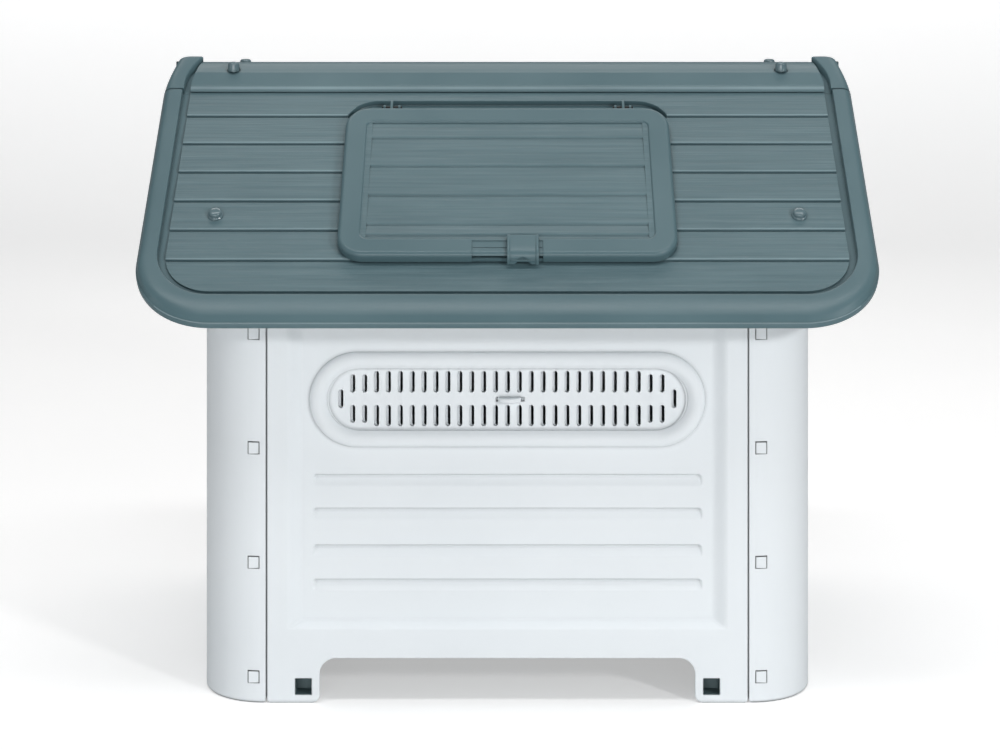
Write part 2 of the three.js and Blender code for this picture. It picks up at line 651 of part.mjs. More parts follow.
function roofHatch() {
  const { height, bottom, skirt, hingeX, hingeT, hingeH } = hatch;
  const { fieldHalf, fieldTop, fieldBottom, fieldDepth } = hatch;
  const edge = { bevelSize: 4, bevelThickness: 4, bevelSegments: 2 };
  const depth = 20;
  const rounded = new THREE.ExtrudeGeometry(hatchPlan(edge.bevelSize), { depth, curveSegments: 4, ...edge });
  const outer = solid(rounded.translate(0, 0, height - depth - edge.bevelThickness)).intersect(
    box(-FAR, FAR, -FAR, 0, 0.5, 2 * BEYOND),
  );
  const hollow = prismZ(hatchPlan(skirt), -BEYOND / 2, track.h1 + RUNNING_GAP);
  const above = height + BEYOND / 2;
  const fieldPlan = roundedRectangle(-fieldHalf, fieldHalf, -fieldBottom, -fieldTop, 8);
  const fieldCut = prismZ(fieldPlan, height - fieldDepth, above, 2);
  const arms = [-hingeX, hingeX].map(hingeArm);
  const pinHoles = [-hingeX, hingeX].map((x) =>
    rod("x", [0, -hingeT, hingeH], x - 9, x + 9, pin.radius + pin.armPlay),
  );
  // The slide runs in a slot through the front lip, under a strip of the lip that lies a little lower.
  const before = -bottom - BEYOND / 2;
  const slot = box(-track.half, track.half, before, -bottom + skirt + 1, track.h0, track.h1);
  const strip = box(-track.half, track.half, before, -track.top, height - track.lower, above);
  return cut(union(cut(outer, hollow), ...arms), fieldCut, slot, strip, ...pinHoles);
}

// The hatch's slide: a grip over the front lip, a neck through the slot and a leg whose toe goes under
// the rib on the roof's collar when the slide is pushed across.
function hatchLatch() {
  const { x0, x1, neckInset, scoopT, scoopRadius } = latch;
  const top = hatch.height + RUNNING_GAP;
  const grip = polygon([
    [-222, top],
    [-222, top + 3.5],
    [-243, top + 3.5],
    [-250.5, top - 1],
    [-253, top - 9],
    [-250, top - 9],
    [-248.5, top - 5],
    [-247.2, top - 1.2],
    [-243, top],
  ]);
  const scoop = rod("z", [(x0 + x1) / 2, -scoopT, 0], -BEYOND, 2 * BEYOND, scoopRadius, 16);
  const inner = [x0 + neckInset, x1 - neckInset];
  const neck = box(...inner, -251, -leg.t0, track.h0 + track.play, track.h1 - track.play);
  const upright = box(...inner, -leg.t1, -leg.t0, leg.foot, track.h1 - track.play);
  const toe = box(...inner, -leg.t1, -leg.toe, leg.foot, leg.toeTop);
  return union(cut(prismX(grip, x0, x1), scoop), neck, upright, toe);
}

// The ridge cap's upper surface over one slope, from its lip to the ridge, in Y and Z.
const CAP_OUTER = [onSlope(0, RUNNING_GAP), onSlope(-6, 4.5), [20, 612.5], [10, 618.8], [0, 622]];
const CAP_INNER = [onSlope(-3, RUNNING_GAP), onSlope(-24, 0.4), [9, 615], [0, 618]];
const RIM_OUTER = [onSlope(-RUNNING_GAP, roof.rimHeight), [31, 608], [20, 617], [10, 624.6], [0, 628]];

// How far out the rim over the ridge goes, as [x, y] on its +Y half: it is drawn in towards the ridge.
const RIM_PLAN = [
  [375, 34],
  [371.5, 18],
  [367.5, 6],
  [366, 0],
];

// A symmetric outline from the points of its +Y half, read from the eave side up to the ridge.
function bothSlopes(upper, lower) {
  const otherHalf = (points) => points.map(([y, z]) => [-y, z]);
  const top = [...upper, ...otherHalf(upper).reverse().slice(1)];
  const under = [...otherHalf(lower), ...[...lower].reverse().slice(1)];
  return polygon([...top, ...under]);
}

function ridgeCap() {
  const { halfLength, rimWall, skirtDepth } = roof;
  const rimStart = 341;
  const sheet = prismX(bothSlopes(CAP_OUTER, CAP_INNER), -rimStart, rimStart);
  const lowered = RIM_OUTER.map(([y, z]) => [Math.max(0, y - 0.6 * rimWall), z - rimWall]);
  const foot = [onSlope(-RUNNING_GAP, -skirtDepth), [0, 611]];
  const open = [[30, 560], [0, 560]];
  const solidRim = prismX(bothSlopes(RIM_OUTER, foot), rimStart - 3, halfLength);
  const hollowRim = prismX(bothSlopes(lowered, open), rimStart, halfLength - rimWall);
  const inner = 300;
  const far = [[inner, 60], [halfLength, 60]];
  const halfPlan = [...far, ...RIM_PLAN];
  const otherHalf = halfPlan.map(([x, y]) => [x, -y]).reverse();
  const plan = prismZ(polygon([...halfPlan, ...otherHalf.slice(1)]), 500, 700);
  const rim = cut(solidRim, hollowRim).intersect(plan);
  const filled = prismX(bothSlopes(CAP_OUTER, [[38, 560], [0, 560]]), -rimStart, rimStart);
  const { radius, foot: bossFoot, top, seatRadius } = ridgeBoss;
  const upright = (z0, z1, size, segments) =>
    ridgeBoltPlaces.map(([x, y]) => rod("z", [x, y, 0], z0, z1, size, segments));
  const bosses = upright(bossFoot, top, radius, 10).map((boss) => boss.intersect(filled));
  const seats = upright(ridgeBolt.seatZ, top + 2 * BEYOND, seatRadius, 10);
  const holes = upright(bossFoot - 4 * BEYOND, top + 2 * BEYOND, bolt.clearance);
  return cut(union(sheet, rim, rim.mirror([1, 0, 0]), ...bosses), ...seats, ...holes);
}

// A bolt that points down, with the underside of its head at z = 0.
function plasticBolt({ flange: flangeRadius, head, height, length }) {
  return turned([
    [0, height],
    [head * 0.7, height - 0.4],
    [head, height - 2],
    [head, 2],
    [flangeRadius, 1.4],
    [flangeRadius, 0],
    [bolt.shank, 0],
    [bolt.shank, -length],
    [0, -length],
  ]);
}

function sleeveNut(height) {
  const body = turned([[0, 0], [bolt.nutRadius, 0], [bolt.nutRadius, height], [0, height]]);
  return cut(body, rod("z", [0, 0, 0], -BEYOND, height + BEYOND, bolt.bore));
}

// ---------------------------------------------------------------- gate
const ROD_X = gate.x + gate.wire + gateLatch.radius + RUNNING_GAP; // the latch rod runs in front of the gate

function wireGate() {
  const { x, halfWidth, bottom, railZ, wire: radius, bar, barPitch, columns } = gate;
  const arcSteps = 12;
  const arc = [];
  for (let step = 0; step <= arcSteps; step++) {
    const angle = (step / arcSteps) * Math.PI;
    arc.push([x, halfWidth * Math.cos(angle), doorway.springZ + halfWidth * Math.sin(angle)]);
  }
  const bow = wire(arc, radius, 16);
  const posts = [-halfWidth, halfWidth].map((y) =>
    rod("z", [x, y, 0], bottom, doorway.springZ + WELD, radius),
  );
  const rails = [bottom + 2, railZ, doorway.springZ].map((z) =>
    rod("y", [x, 0, z], -halfWidth, halfWidth, radius - 0.5, 6),
  );
  const bars = [];
  for (let column = -columns; column <= columns; column++) {
    const y = column * barPitch;
    const top = doorway.springZ + Math.sqrt(halfWidth ** 2 - y ** 2);
    bars.push(rod("z", [x, y, 0], bottom + 2, top, bar, 6));
  }
  // The latch rod slides through a guide on each of the last two bars.
  const { z: latchZ, radius: rodRadius, start, end } = gateLatch;
  const guides = [columns - 1, columns].map((column) => {
    const y = column * barPitch;
    const block = box(x - 1, ROD_X + 6, y - 4, y + 4, latchZ - 7, latchZ + 7);
    return cut(block, rod("y", [ROD_X, 0, latchZ], start, end, rodRadius + RUNNING_GAP));
  });
  return union(bow, ...posts, ...rails, ...bars, ...guides);
}

// A rod with a knob, which slides in front of the bars and just clears the wall beside the doorway.
function latchRod() {
  const { z, radius, start, end, knob0, knob1, knobReach } = gateLatch;
  const handle = box(ROD_X - 2, ROD_X + knobReach, knob0, knob1, z - 2.5, z + 2.5);
  return union(rod("y", [ROD_X, 0, z], start, end, radius), handle);
}

// A bracket on the side of the doorway, with a vertical hole for the gate's hinge post.
function gateBracket(z) {
  const { x, halfWidth, wire: radius } = gate;
  const { half, back, front } = bracket;
  const jamb = -doorway.halfWidth + RUNNING_GAP;
  const plan = roundedRectangle(x - back, x + front, jamb, -halfWidth + front, 2.5);
  const block = prismZ(plan, z - half, z + half, 1);
  return cut(block, rod("z", [x, -halfWidth, 0], z - 2 * half, z + 2 * half, radius + 0.4));
}

// A block on the wall beside the doorway, which the latch rod slides into.
function gateKeeper() {
  const { y0, y1, half, front } = keeper;
  const { z, radius } = gateLatch;
  const face = wall.halfLength + RUNNING_GAP;
  const block = prismX(roundedRectangle(y0, y1, z - half, z + half, 2.5), face, ROD_X + front, 1);
  return cut(block, rod("y", [ROD_X, 0, z], y0 - BEYOND, y1 + BEYOND, radius + 0.5));
}

// ---------------------------------------------------------------- the hutch
place(hutch, "floor_panel", floorPanel(), floorPlastic);
place(hutch, "front_gable_wall", frontGable(), wallPlastic);
place(hutch, "rear_gable_wall", rearGable(), wallPlastic);
place(hutch, "ridge_cap", ridgeCap(), roofPlastic);

const NUT_H = wall.topH - boltLedge.thickness - RUNNING_GAP - roofBolt.nut; // height of a roof nut's foot

for (const side of ["left", "right"]) {
  const wallGroup = sideGroup(side);
  place(wallGroup, side + "_side_wall", sideWall(), wallPlastic);
  place(wallGroup, side + "_vent_shutter", ventShutter(), wallPlastic);

  const slope = slopeGroup(side);
  place(slope, side + "_roof_panel", roofPanel(side === "left"), roofPlastic);
  for (const [end, x] of [["front", roofBolt.x], ["rear", -roofBolt.x]]) {
    const localX = side === "left" ? x : -x;
    const name = side + "_" + end;
    const head = place(slope, name + "_roof_bolt", plasticBolt(roofBolt), boltPlastic);
    head.position.set(localX, -roofBolt.t, RUNNING_GAP);
    const nut = place(slope, name + "_roof_nut", sleeveNut(roofBolt.nut), boltPlastic);
    nut.position.set(localX, -roofBolt.t, NUT_H);
  }
  if (side === "left") {
    place(slope, "roof_hatch", roofHatch(), roofPlastic);
    place(slope, "hatch_latch", hatchLatch(), roofPlastic);
    for (const [end, x] of [["front", hatch.hingeX], ["rear", -hatch.hingeX]]) {
      const axle = rod("x", [0, -hatch.hingeT, hatch.hingeH], x - pin.half, x + pin.half, pin.radius);
      place(slope, end + "_hatch_hinge_pin", axle, gateSteel);
    }
  }
}

for (const [x, y] of ridgeBoltPlaces) {
  const name = (y < 0 ? "left" : "right") + "_" + (x > 0 ? "front" : "rear");
  const head = place(hutch, name + "_ridge_bolt", plasticBolt(ridgeBolt), boltPlastic);
  head.position.set(x, y, ridgeBolt.seatZ + RUNNING_GAP);
  const nut = place(hutch, name + "_ridge_nut", sleeveNut(ridgeBolt.nut), boltPlastic);
  nut.position.set(x, y, ridgeBolt.nutFoot);
}

place(hutch, "gate", wireGate(), gateSteel);
place(hutch, "gate_latch_bolt", latchRod(), gateSteel);
place(hutch, "lower_gate_bracket", gateBracket(bracket.z[0]), roofPlastic);
place(hutch, "upper_gate_bracket", gateBracket(bracket.z[1]), roofPlastic);
place(hutch, "gate_keeper", gateKeeper(), roofPlastic);

export default hutch;
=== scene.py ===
"""The looks of a calf hutch of moulded plastic panels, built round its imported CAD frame.

Shapes are built in millimetres and become metres when they are finished as pieces.
"""

import math

import bmesh
import bpy
from mathutils import Matrix, Vector


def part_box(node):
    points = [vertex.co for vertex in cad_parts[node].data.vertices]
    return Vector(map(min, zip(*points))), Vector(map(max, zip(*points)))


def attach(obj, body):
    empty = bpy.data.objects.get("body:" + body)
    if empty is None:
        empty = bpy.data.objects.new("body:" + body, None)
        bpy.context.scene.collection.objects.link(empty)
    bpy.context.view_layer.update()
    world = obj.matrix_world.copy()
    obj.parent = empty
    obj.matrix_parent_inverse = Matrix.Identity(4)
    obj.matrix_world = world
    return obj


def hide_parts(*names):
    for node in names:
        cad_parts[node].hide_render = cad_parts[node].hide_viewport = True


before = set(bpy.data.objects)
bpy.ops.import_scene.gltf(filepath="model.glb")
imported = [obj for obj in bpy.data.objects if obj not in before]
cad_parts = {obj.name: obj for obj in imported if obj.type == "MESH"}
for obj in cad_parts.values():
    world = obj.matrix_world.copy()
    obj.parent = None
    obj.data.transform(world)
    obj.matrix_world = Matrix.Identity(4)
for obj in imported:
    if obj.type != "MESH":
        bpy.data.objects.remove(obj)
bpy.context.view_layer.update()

# ---------------- driving dimensions, from the frame
M = 0.001  # metres in a millimetre


def span(node, axis):
    """Lowest and highest place of a CAD node along an axis, in millimetres."""
    low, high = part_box(node)
    return low[axis] / M, high[axis] / M


END_X = span("front_gable_wall", 0)[1]  # outside of the gable walls
SIDE_Y = span("front_gable_wall", 1)[1]  # outside of the side walls
HALF_SEAM = 0.7  # half the gap between a side wall and a gable wall
SEAM_X = span("front_gable_wall", 0)[0] - HALF_SEAM  # middle of that gap
WALL_TOP = span("left_side_wall", 2)[1]
ROOF_X = span("left_roof_panel", 0)[1]
HATCH_X = span("roof_hatch", 0)[1]
SHEET = 4.0  # thickness of the walls
CORNER = 64.0  # radius of the walls' upright corners
FAR = 400.0  # well past the object's outline

SLOPE = math.radians(38)
LIP_Y, LIP_Z = 38.0, 592.0  # where the planks come out from under the ridge cap
SIN, COS = math.sin(SLOPE), math.cos(SLOPE)

# ---------------- outlines


def arc(centre_x, centre_y, radius, start, end, steps):
    """Points of a circular arc, with its angles in degrees."""
    angles = [math.radians(start + (end - start) * i / steps) for i in range(steps + 1)]
    return [(centre_x + radius * math.cos(a), centre_y + radius * math.sin(a)) for a in angles]


def circle(x, y, radius, sides=24):
    return arc(x, y, radius, 0, 360 - 360 / sides, sides - 1)


def rounded_box(x0, x1, y0, y1, radius, steps=8):
    """An outline as a function of how far it is drawn in."""

    def outline(inset=0.0):
        r = max(radius - inset, 0.05)
        left, right = x0 + inset + r, x1 - inset - r
        low, high = y0 + inset + r, y1 - inset - r
        return (
            arc(right, high, r, 0, 90, steps)
            + arc(left, high, r, 90, 180, steps)
            + arc(left, low, r, 180, 270, steps)
            + arc(right, low, r, 270, 360, steps)
        )

    return outline


def upright_slot(x, low, high, half_width, steps=5):
    """The outline of an upright slot with round ends."""
    top = arc(x, high - half_width, half_width, 0, 180, steps)
    return top + arc(x, low + half_width, half_width, 180, 360, steps)


def mirrored(half):
    """A whole outline from the points of its half at positive x."""
    return half + [(-x, y) for x, y in reversed(half)]


def bezier(p0, p1, p2, p3, steps):
    """Points of a cubic curve, without its first point."""
    points = []
    for i in range(1, steps + 1):
        t = i / steps
        a, b, c, d = (1 - t) ** 3, 3 * t * (1 - t) ** 2, 3 * t * t * (1 - t), t**3
        points.append(tuple(a * q0 + b * q1 + c * q2 + d * q3 for q0, q1, q2, q3 in zip(p0, p1, p2, p3)))
    return points


# ---------------- solids


def solid(points, faces):
    """A closed mesh object with its faces pointing out."""
    mesh = bpy.data.meshes.new("solid")
    mesh.from_pydata([tuple(p) for p in points], [], faces)
    work = bmesh.new()
    work.from_mesh(mesh)
    bmesh.ops.remove_doubles(work, verts=work.verts, dist=1e-4)
    bmesh.ops.dissolve_degenerate(work, edges=work.edges, dist=1e-4)
    bmesh.ops.recalc_face_normals(work, faces=work.faces)
    work.to_mesh(mesh)
    work.free()
    obj = bpy.data.objects.new("solid", mesh)
    bpy.context.scene.collection.objects.link(obj)
    return obj


def loft(loops, ring=False):
    """A solid skinned over loops with the same number of points, closed by caps or into a ring."""
    count = len(loops[0])
    points = [p for loop in loops for p in loop]
    last = len(loops) if ring else len(loops) - 1
    faces = []
    for i in range(last):
        a, b = i * count, (i + 1) % len(loops) * count
        for j in range(count):
            k = (j + 1) % count
            faces.append((a + j, a + k, b + k, b + j))
    if not ring:
        faces.append(tuple(range(count))[::-1])
        faces.append(tuple(range(last * count, last * count + count)))
    return solid(points, faces)


def flat(outline, z):
    return [(x, y, z) for x, y in outline]


def slab(outline, z0, z1, top_edge=0.0, bottom_edge=0.0, steps=4):
    """A plate with rounded edges. The outline is a function of how far it is drawn in."""
    loops = []
    for z, way, radius in ((z0, 1, bottom_edge), (z1, -1, top_edge)):
        turns = [math.pi / 2 * i / steps for i in range(steps + 1 if radius else 1)]
        edge = [(radius * (1 - math.sin(a)), z + way * radius * (1 - math.cos(a))) for a in turns]
        loops += [flat(outline(inset), height) for inset, height in edge[::way]]
    return loft(loops)


def prism(outline, z0, z1):
    return loft([flat(outline, z0), flat(outline, z1)])


def along_x(outline, x0, x1):
    """A prism along X of an outline in Y and Z."""
    return loft([[(x, y, z) for y, z in outline] for x in (x0, x1)])


def block(x0, x1, y0, y1, z0, z1):
    return prism([(x0, y0), (x1, y0), (x1, y1), (x0, y1)], z0, z1)


def round_bar(x, y, radius, z0, z1, sides=24):
    """An upright round bar, to add as a boss or to cut a hole with."""
    return prism(circle(x, y, radius, sides), z0, z1)


def turned(profile, steps=32):
    """A solid of revolution about Z, from (radius, z) points that start and end on the axis."""
    points, faces, rings = [], [], []
    for radius, z in profile:
        if radius == 0:
            rings.append([len(points)] * steps)
            points.append((0, 0, z))
            continue
        rings.append(list(range(len(points), len(points) + steps)))
        for i in range(steps):
            a = 2 * math.pi * i / steps
            points.append((radius * math.cos(a), radius * math.sin(a), z))
    for low, high in zip(rings, rings[1:]):
        for i in range(steps):
            k = (i + 1) % steps
            corners = [low[i], low[k], high[k], high[i]]
            faces.append(tuple(dict.fromkeys(corners)))
    return solid(points, faces)


def sweep(path, radius, sides):
    """A round wire along a path of points."""
    points = [Vector(p) for p in path]
    loops = []
    normal = None
    for i, p in enumerate(points):
        along = (points[min(i + 1, len(points) - 1)] - points[max(i - 1, 0)]).normalized()
        if normal is None:
            normal = along.orthogonal().normalized()
        normal = (normal - along * normal.dot(along)).normalized()
        side = along.cross(normal)
        angles = [2 * math.pi * j / sides for j in range(sides)]
        loops.append([p + radius * (math.cos(a) * normal + math.sin(a) * side) for a in angles])
    return loft(loops)


def several(solids):
    """Solids that don't touch, as one object."""
    first, *rest = solids
    work = bmesh.new()
    for obj in solids:
        work.from_mesh(obj.data)
    work.to_mesh(first.data)
    work.free()
    for obj in rest:
        bpy.data.objects.remove(obj)
    return first


def combine(base, tool, operation):
    """Joins a tool to a base by a boolean, and takes the tool out of the scene."""
    modifier = base.modifiers.new("combine", "BOOLEAN")
    modifier.operation = operation
    modifier.solver = "MANIFOLD"
    modifier.object = tool
    made = bpy.data.meshes.new_from_object(base.evaluated_get(bpy.context.evaluated_depsgraph_get()))
    base.modifiers.clear()
    base.data = made
    bpy.data.objects.remove(tool)
    return base


def union(base, *tools):
    for tool in tools:
        combine(base, tool, "UNION")
    return base


def cut(base, *tools):
    for tool in tools:
        combine(base, tool, "DIFFERENCE")
    return base


def keep(base, tool):
    return combine(base, tool, "INTERSECT")


def shift(x, y, z):
    return Matrix.Translation((x, y, z))


def moved(obj, matrix):
    obj.data.transform(matrix)
    return obj


def copied(obj, matrix=None):
    """A second solid of the same shape. A mirroring matrix leaves its faces pointing out."""
    twin = bpy.data.objects.new("solid", obj.data.copy())
    bpy.context.scene.collection.objects.link(twin)
    if matrix is not None:
        twin.data.transform(matrix)
        if matrix.determinant() < 0:
            twin.data.flip_normals()
    return twin


MIRROR_X = Matrix.Scale(-1, 4, (1, 0, 0))
MIRROR_Y = Matrix.Scale(-1, 4, (0, 1, 0))
HALF_TURN = Matrix.Rotation(math.pi, 4, "Z")
# Local x, y and z become X, Z and the outward direction of the left side wall.
ON_WALL = Matrix(((1, 0, 0, 0), (0, 0, -1, -SIDE_Y), (0, 1, 0, 0), (0, 0, 0, 1)))
# Local x, y and z become Y, Z and X, as for what stands on a gable.
FACING_X = Matrix(((0, 0, 1, 0), (1, 0, 0, 0), (0, 1, 0, 0), (0, 0, 0, 1)))
# Local -y runs down the left slope from the lip of the ridge cap, and z stands square to the planks.
ON_SLOPE = shift(0, -LIP_Y, LIP_Z) @ Matrix.Rotation(SLOPE, 4, "X")


SMOOTH_BELOW = math.radians(32)  # faces that meet at less than this are shaded as one surface


def piece(name, obj, body, node, *materials):
    """Makes a solid a piece of the object: in metres, shaded, riding on a body, standing for a node."""
    obj.data.transform(Matrix.Scale(M, 4))
    obj.name = name
    obj.data.name = name
    chosen = [face.material_index for face in obj.data.polygons]
    obj.data.materials.clear()
    for material in materials:
        obj.data.materials.append(material)
    if len(materials) > 1:
        obj.data.polygons.foreach_set("material_index", chosen)
    obj.data.shade_smooth()
    obj.data.set_sharp_from_angle(angle=SMOOTH_BELOW)
    weighted = obj.modifiers.new("weighted", "WEIGHTED_NORMAL")
    weighted.keep_sharp = True
    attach(obj, body)
    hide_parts(node)


# ---------------- materials


class Nodes:
    """A short way to write a material's nodes, which pass on their output sockets."""

    def __init__(self, name):
        self.material = bpy.data.materials.new(name)
        self.material.use_nodes = True
        self.tree = self.material.node_tree
        self.tree.nodes.clear()
        self.surface = self.add("BsdfPrincipled", {})
        self.add("OutputMaterial", {"Surface": self.surface.outputs["BSDF"]})
        self.place = self.add("TexCoord", {}).outputs["Object"]

    def feed(self, node, inputs):
        """Links each input to a socket or gives it a fixed value."""
        for name, value in inputs.items():
            if isinstance(value, bpy.types.NodeSocket):
                self.tree.links.new(value, node.inputs[name])
            elif value is not None:
                node.inputs[name].default_value = value

    def add(self, kind, inputs, **settings):
        node = self.tree.nodes.new("ShaderNode" + kind)
        for key, value in settings.items():
            setattr(node, key, value)
        self.feed(node, inputs)
        return node

    def noise(self, scale, detail=3.0, stretch=(1, 1, 1), roughness=0.5):
        """Noise in object space, scale per metre, stretched along the axes."""
        place = self.add("Mapping", {"Vector": self.place, "Scale": stretch}).outputs["Vector"]
        inputs = {"Vector": place, "Scale": scale, "Detail": detail, "Roughness": roughness}
        return self.add("TexNoise", inputs).outputs["Fac"]

    def ramp(self, value, *stops):
        node = self.add("ValToRGB", {"Fac": value})
        elements = node.color_ramp.elements
        while len(elements) < len(stops):
            elements.new(0.5)
        for element, (position, color) in zip(elements, stops):
            element.position = position
            element.color = (*color, 1)
        return node.outputs["Color"]

    def math(self, operation, a, b):
        return self.add("Math", {0: a, 1: b}, operation=operation).outputs["Value"]

    def bump(self, height, strength, distance, normal=None):
        inputs = {"Height": height, "Strength": strength, "Distance": distance, "Normal": normal}
        return self.add("Bump", inputs).outputs["Normal"]

    def shaded(self, color, reach, floor):
        """Painted shade: a colour that darkens in narrow gaps and corners, down to a share of itself."""
        open_sky = self.add("AmbientOcclusion", {"Distance": reach}, samples=6).outputs["AO"]
        share = self.math("ADD", self.math("MULTIPLY", open_sky, 1 - floor), floor)
        return self.add("VectorMath", {"Vector": color, "Scale": share}, operation="SCALE").outputs["Vector"]

    def soft_edges(self, radius):
        return self.add("Bevel", {"Radius": radius}, samples=6).outputs["Normal"]

    def finish(self, inputs):
        """Gives the surface its inputs, and returns the material."""
        self.feed(self.surface, inputs)
        return self.material


def grey(value):
    return (value, value, value)


def wall_plastic(name, gap_shade):
    """Bluish-white polypropylene with a fine sand texture from the mould, and painted shade in gaps and
    corners down to gap_shade of its colour.
    """
    n = Nodes(name)
    color = n.ramp(n.noise(5.0, 3.0), (0.3, (0.785, 0.825, 0.852)), (0.7, (0.815, 0.853, 0.878)))
    sand = n.noise(1700.0, 2.0)
    wavy = n.bump(n.noise(9.0, 2.0), 0.10, 0.004, n.soft_edges(0.0009))
    # The base colour carries painted shade in gaps and corners.
    looks = {"Base Color": n.shaded(color, 0.004, gap_shade), "Normal": n.bump(sand, 0.22, 0.0004, wavy)}
    looks["Roughness"] = n.ramp(sand, (0.2, grey(0.50)), (0.8, grey(0.66)))
    looks["Specular IOR Level"] = 0.35
    return n.finish(looks)


ROOF_SHADES = ((0.064, 0.117, 0.134), (0.088, 0.151, 0.170), (0.118, 0.192, 0.213))


def roof_plastic(name, grain, painted_highlight=0.0):
    """Grey-teal polypropylene, satin, with painted shade in gaps and corners and moulded wood grain along X,
    or made paler in patches as a painted highlight for rounded edges.
    """
    n = Nodes(name)
    # A paler colour here stands in for the highlight along rounded edges: painted highlight.
    deep, base, pale = [[value * (1 + 4 * painted_highlight) + painted_highlight for value in shade] for shade in ROOF_SHADES]
    streak = n.noise(1.0, 3.0, (7, 230, 230), 0.6)
    cloud = n.noise(7.0, 3.0)
    tone = n.math("ADD", n.math("MULTIPLY", streak, 0.6 * grain), 0.5 - 0.3 * grain)
    patches = n.math("MULTIPLY", n.math("SUBTRACT", cloud, 0.5), 1.2 if painted_highlight else 0.35)
    color = n.ramp(n.math("ADD", tone, patches), (0.22, deep), (0.5, base), (0.78, pale))
    normal = n.soft_edges(0.0007)
    if grain:
        fine = n.noise(1.0, 3.0, (12, 1100, 1100), 0.6)
        relief = n.math("ADD", streak, n.math("MULTIPLY", fine, 0.5))
        normal = n.bump(relief, 0.55 * grain, 0.0006, normal)
    # The base colour carries painted shade in gaps and corners.
    looks = {"Base Color": n.shaded(color, 0.004, 0.45), "Specular IOR Level": 0.40}
    looks["Normal"] = n.bump(n.noise(1500.0, 2.0), 0.12, 0.0003, normal)
    looks["Roughness"] = n.ramp(streak if grain else cloud, (0.25, grey(0.30)), (0.8, grey(0.42)))
    return n.finish(looks)


def plain(name, cloud, tones, roughness, relief=None, edge=0.0, metallic=0.0):
    """A clouded colour between two tones, with fine relief and softened edges where they are given."""
    n = Nodes(name)
    color = n.ramp(n.noise(*cloud), (0.3, tones[0]), (0.7, tones[1]))
    looks = {"Base Color": color, "Roughness": roughness, "Metallic": metallic}
    if relief:
        scale, detail, strength, depth = relief
        edges = n.soft_edges(edge) if edge else None
        looks["Normal"] = n.bump(n.noise(scale, detail), strength, depth, edges)
    return n.finish(looks)


# The walls carry painted shade in gaps and corners, down to a quarter of their colour; the shutter's copy of
# the same plastic has none, so it stays bright behind the vent's slots.
WALL = wall_plastic("wall_plastic", 0.25)
SHUTTER = wall_plastic("wall_plastic_inner", 1.0)
PLANK = roof_plastic("roof_plastic_grained", 1.0)
RIM = roof_plastic("roof_plastic_smooth", 0.0)
# A paler copy of the roof plastic: painted highlight on the planks' lips, the eave's bead and the cap's lip.
LIP = roof_plastic("roof_plastic_painted_highlight", 0.0, 0.06)
BOLT_TONES = ((0.105, 0.160, 0.178), (0.125, 0.185, 0.205))
FLOOR_TONES = ((0.095, 0.145, 0.158), (0.120, 0.176, 0.190))
STEEL_TONES = ((0.115, 0.125, 0.130), (0.150, 0.160, 0.166))
BOLT = plain("bolt_plastic", (300.0, 2.0), BOLT_TONES, 0.16, (300.0, 2.0, 0.2, 0.0003), 0.0005)
FLOOR = plain("floor_plastic", (12.0, 4.0), FLOOR_TONES, 0.55, (900.0, 3.0, 0.3, 0.0005), 0.001)
# The gate has a grey powder coat with a slight orange peel, and the hinge pins are blackened.
STEEL = plain("gate_steel", (40.0, 3.0), STEEL_TONES, 0.36, (900.0, 2.0, 0.25, 0.0004), metallic=0.45)
PIN_STEEL = plain("pin_steel", (200.0, 2.0), (grey(0.020), grey(0.035)), 0.5, metallic=0.3)
SLOTS = {WALL: "wall_plastic", SHUTTER: "wall_plastic", RIM: "roof_plastic", BOLT: "bolt_plastic"}
SLOTS |= {FLOOR: "floor_plastic", STEEL: "gate_steel", PIN_STEEL: "gate_steel"}

# ---------------- side walls
# Local x runs along the ridge, y is the height above ground and z the distance outside the wall.

WALL_X = SEAM_X - HALF_SEAM  # end of a side wall
FIELD_DEPTH = 8.0
ARCH_X, ARCH_TOP, ARCH_RADIUS = 188.5, 44.7, 16.0
FOOT_RADIUS = 8.0
GROOVE_TOPS = (228.0, 194.0, 157.0, 122.5)
VENT_Z = 303.0
RING_X, RING_HALF = 199.4, 48.0
PLATE_X, PLATE_HALF = 180.0, 31.3
SLOT_PITCH, SLOT_COLUMNS, SLOT_HALF = 12.0, 13, 2.5
SLOT_ROWS = ((275.4, 296.9), (309.3, 331.2))  # the ends of the slots of the lower and the upper row
END_SLOT_X, END_SLOT = 168.0, (293.6, 312.6)  # the single slot at each end of the vent
SLOT_SHIFT = 2.4  # the shutter rests half closed
KNOB_SLOT = (-11.9, 17.5, 300.2, 305.1)
PLATE_DEPTH = FIELD_DEPTH + 2
BACK_DEPTH = FIELD_DEPTH + 6
RAIL_X = 188.0
SNAP_X = (249.0, 261.0)
SNAP_HEIGHTS = [26 + 115 * row for row in range(4)]
SNAP_HALF = 6.5
FLANGE_GAP = SHEET + 0.4
PEG_X, PEG_Z, PEG_HALF, PEG_DEPTH = 205.0, 16.05, 8.3, 21.0
LEDGE_Z = (51.0, 55.5)  # the ledges that carry the floor


def side_outline(inset=0.0):
    """The side wall from the front: level top, arch between two feet with rounded corners."""
    foot = FOOT_RADIUS - inset
    corner = ARCH_RADIUS + inset
    arch_top = ARCH_TOP + inset
    half = (
        [(WALL_X - inset, WALL_TOP)]
        + arc(WALL_X - 3, 3, 3 - inset, 0, -90, 4)
        + arc(ARCH_X + FOOT_RADIUS, FOOT_RADIUS, foot, -90, -180, 6)
        + arc(ARCH_X + inset - corner, arch_top - corner, corner, 0, 90, 10)
    )
    return mirrored(half)


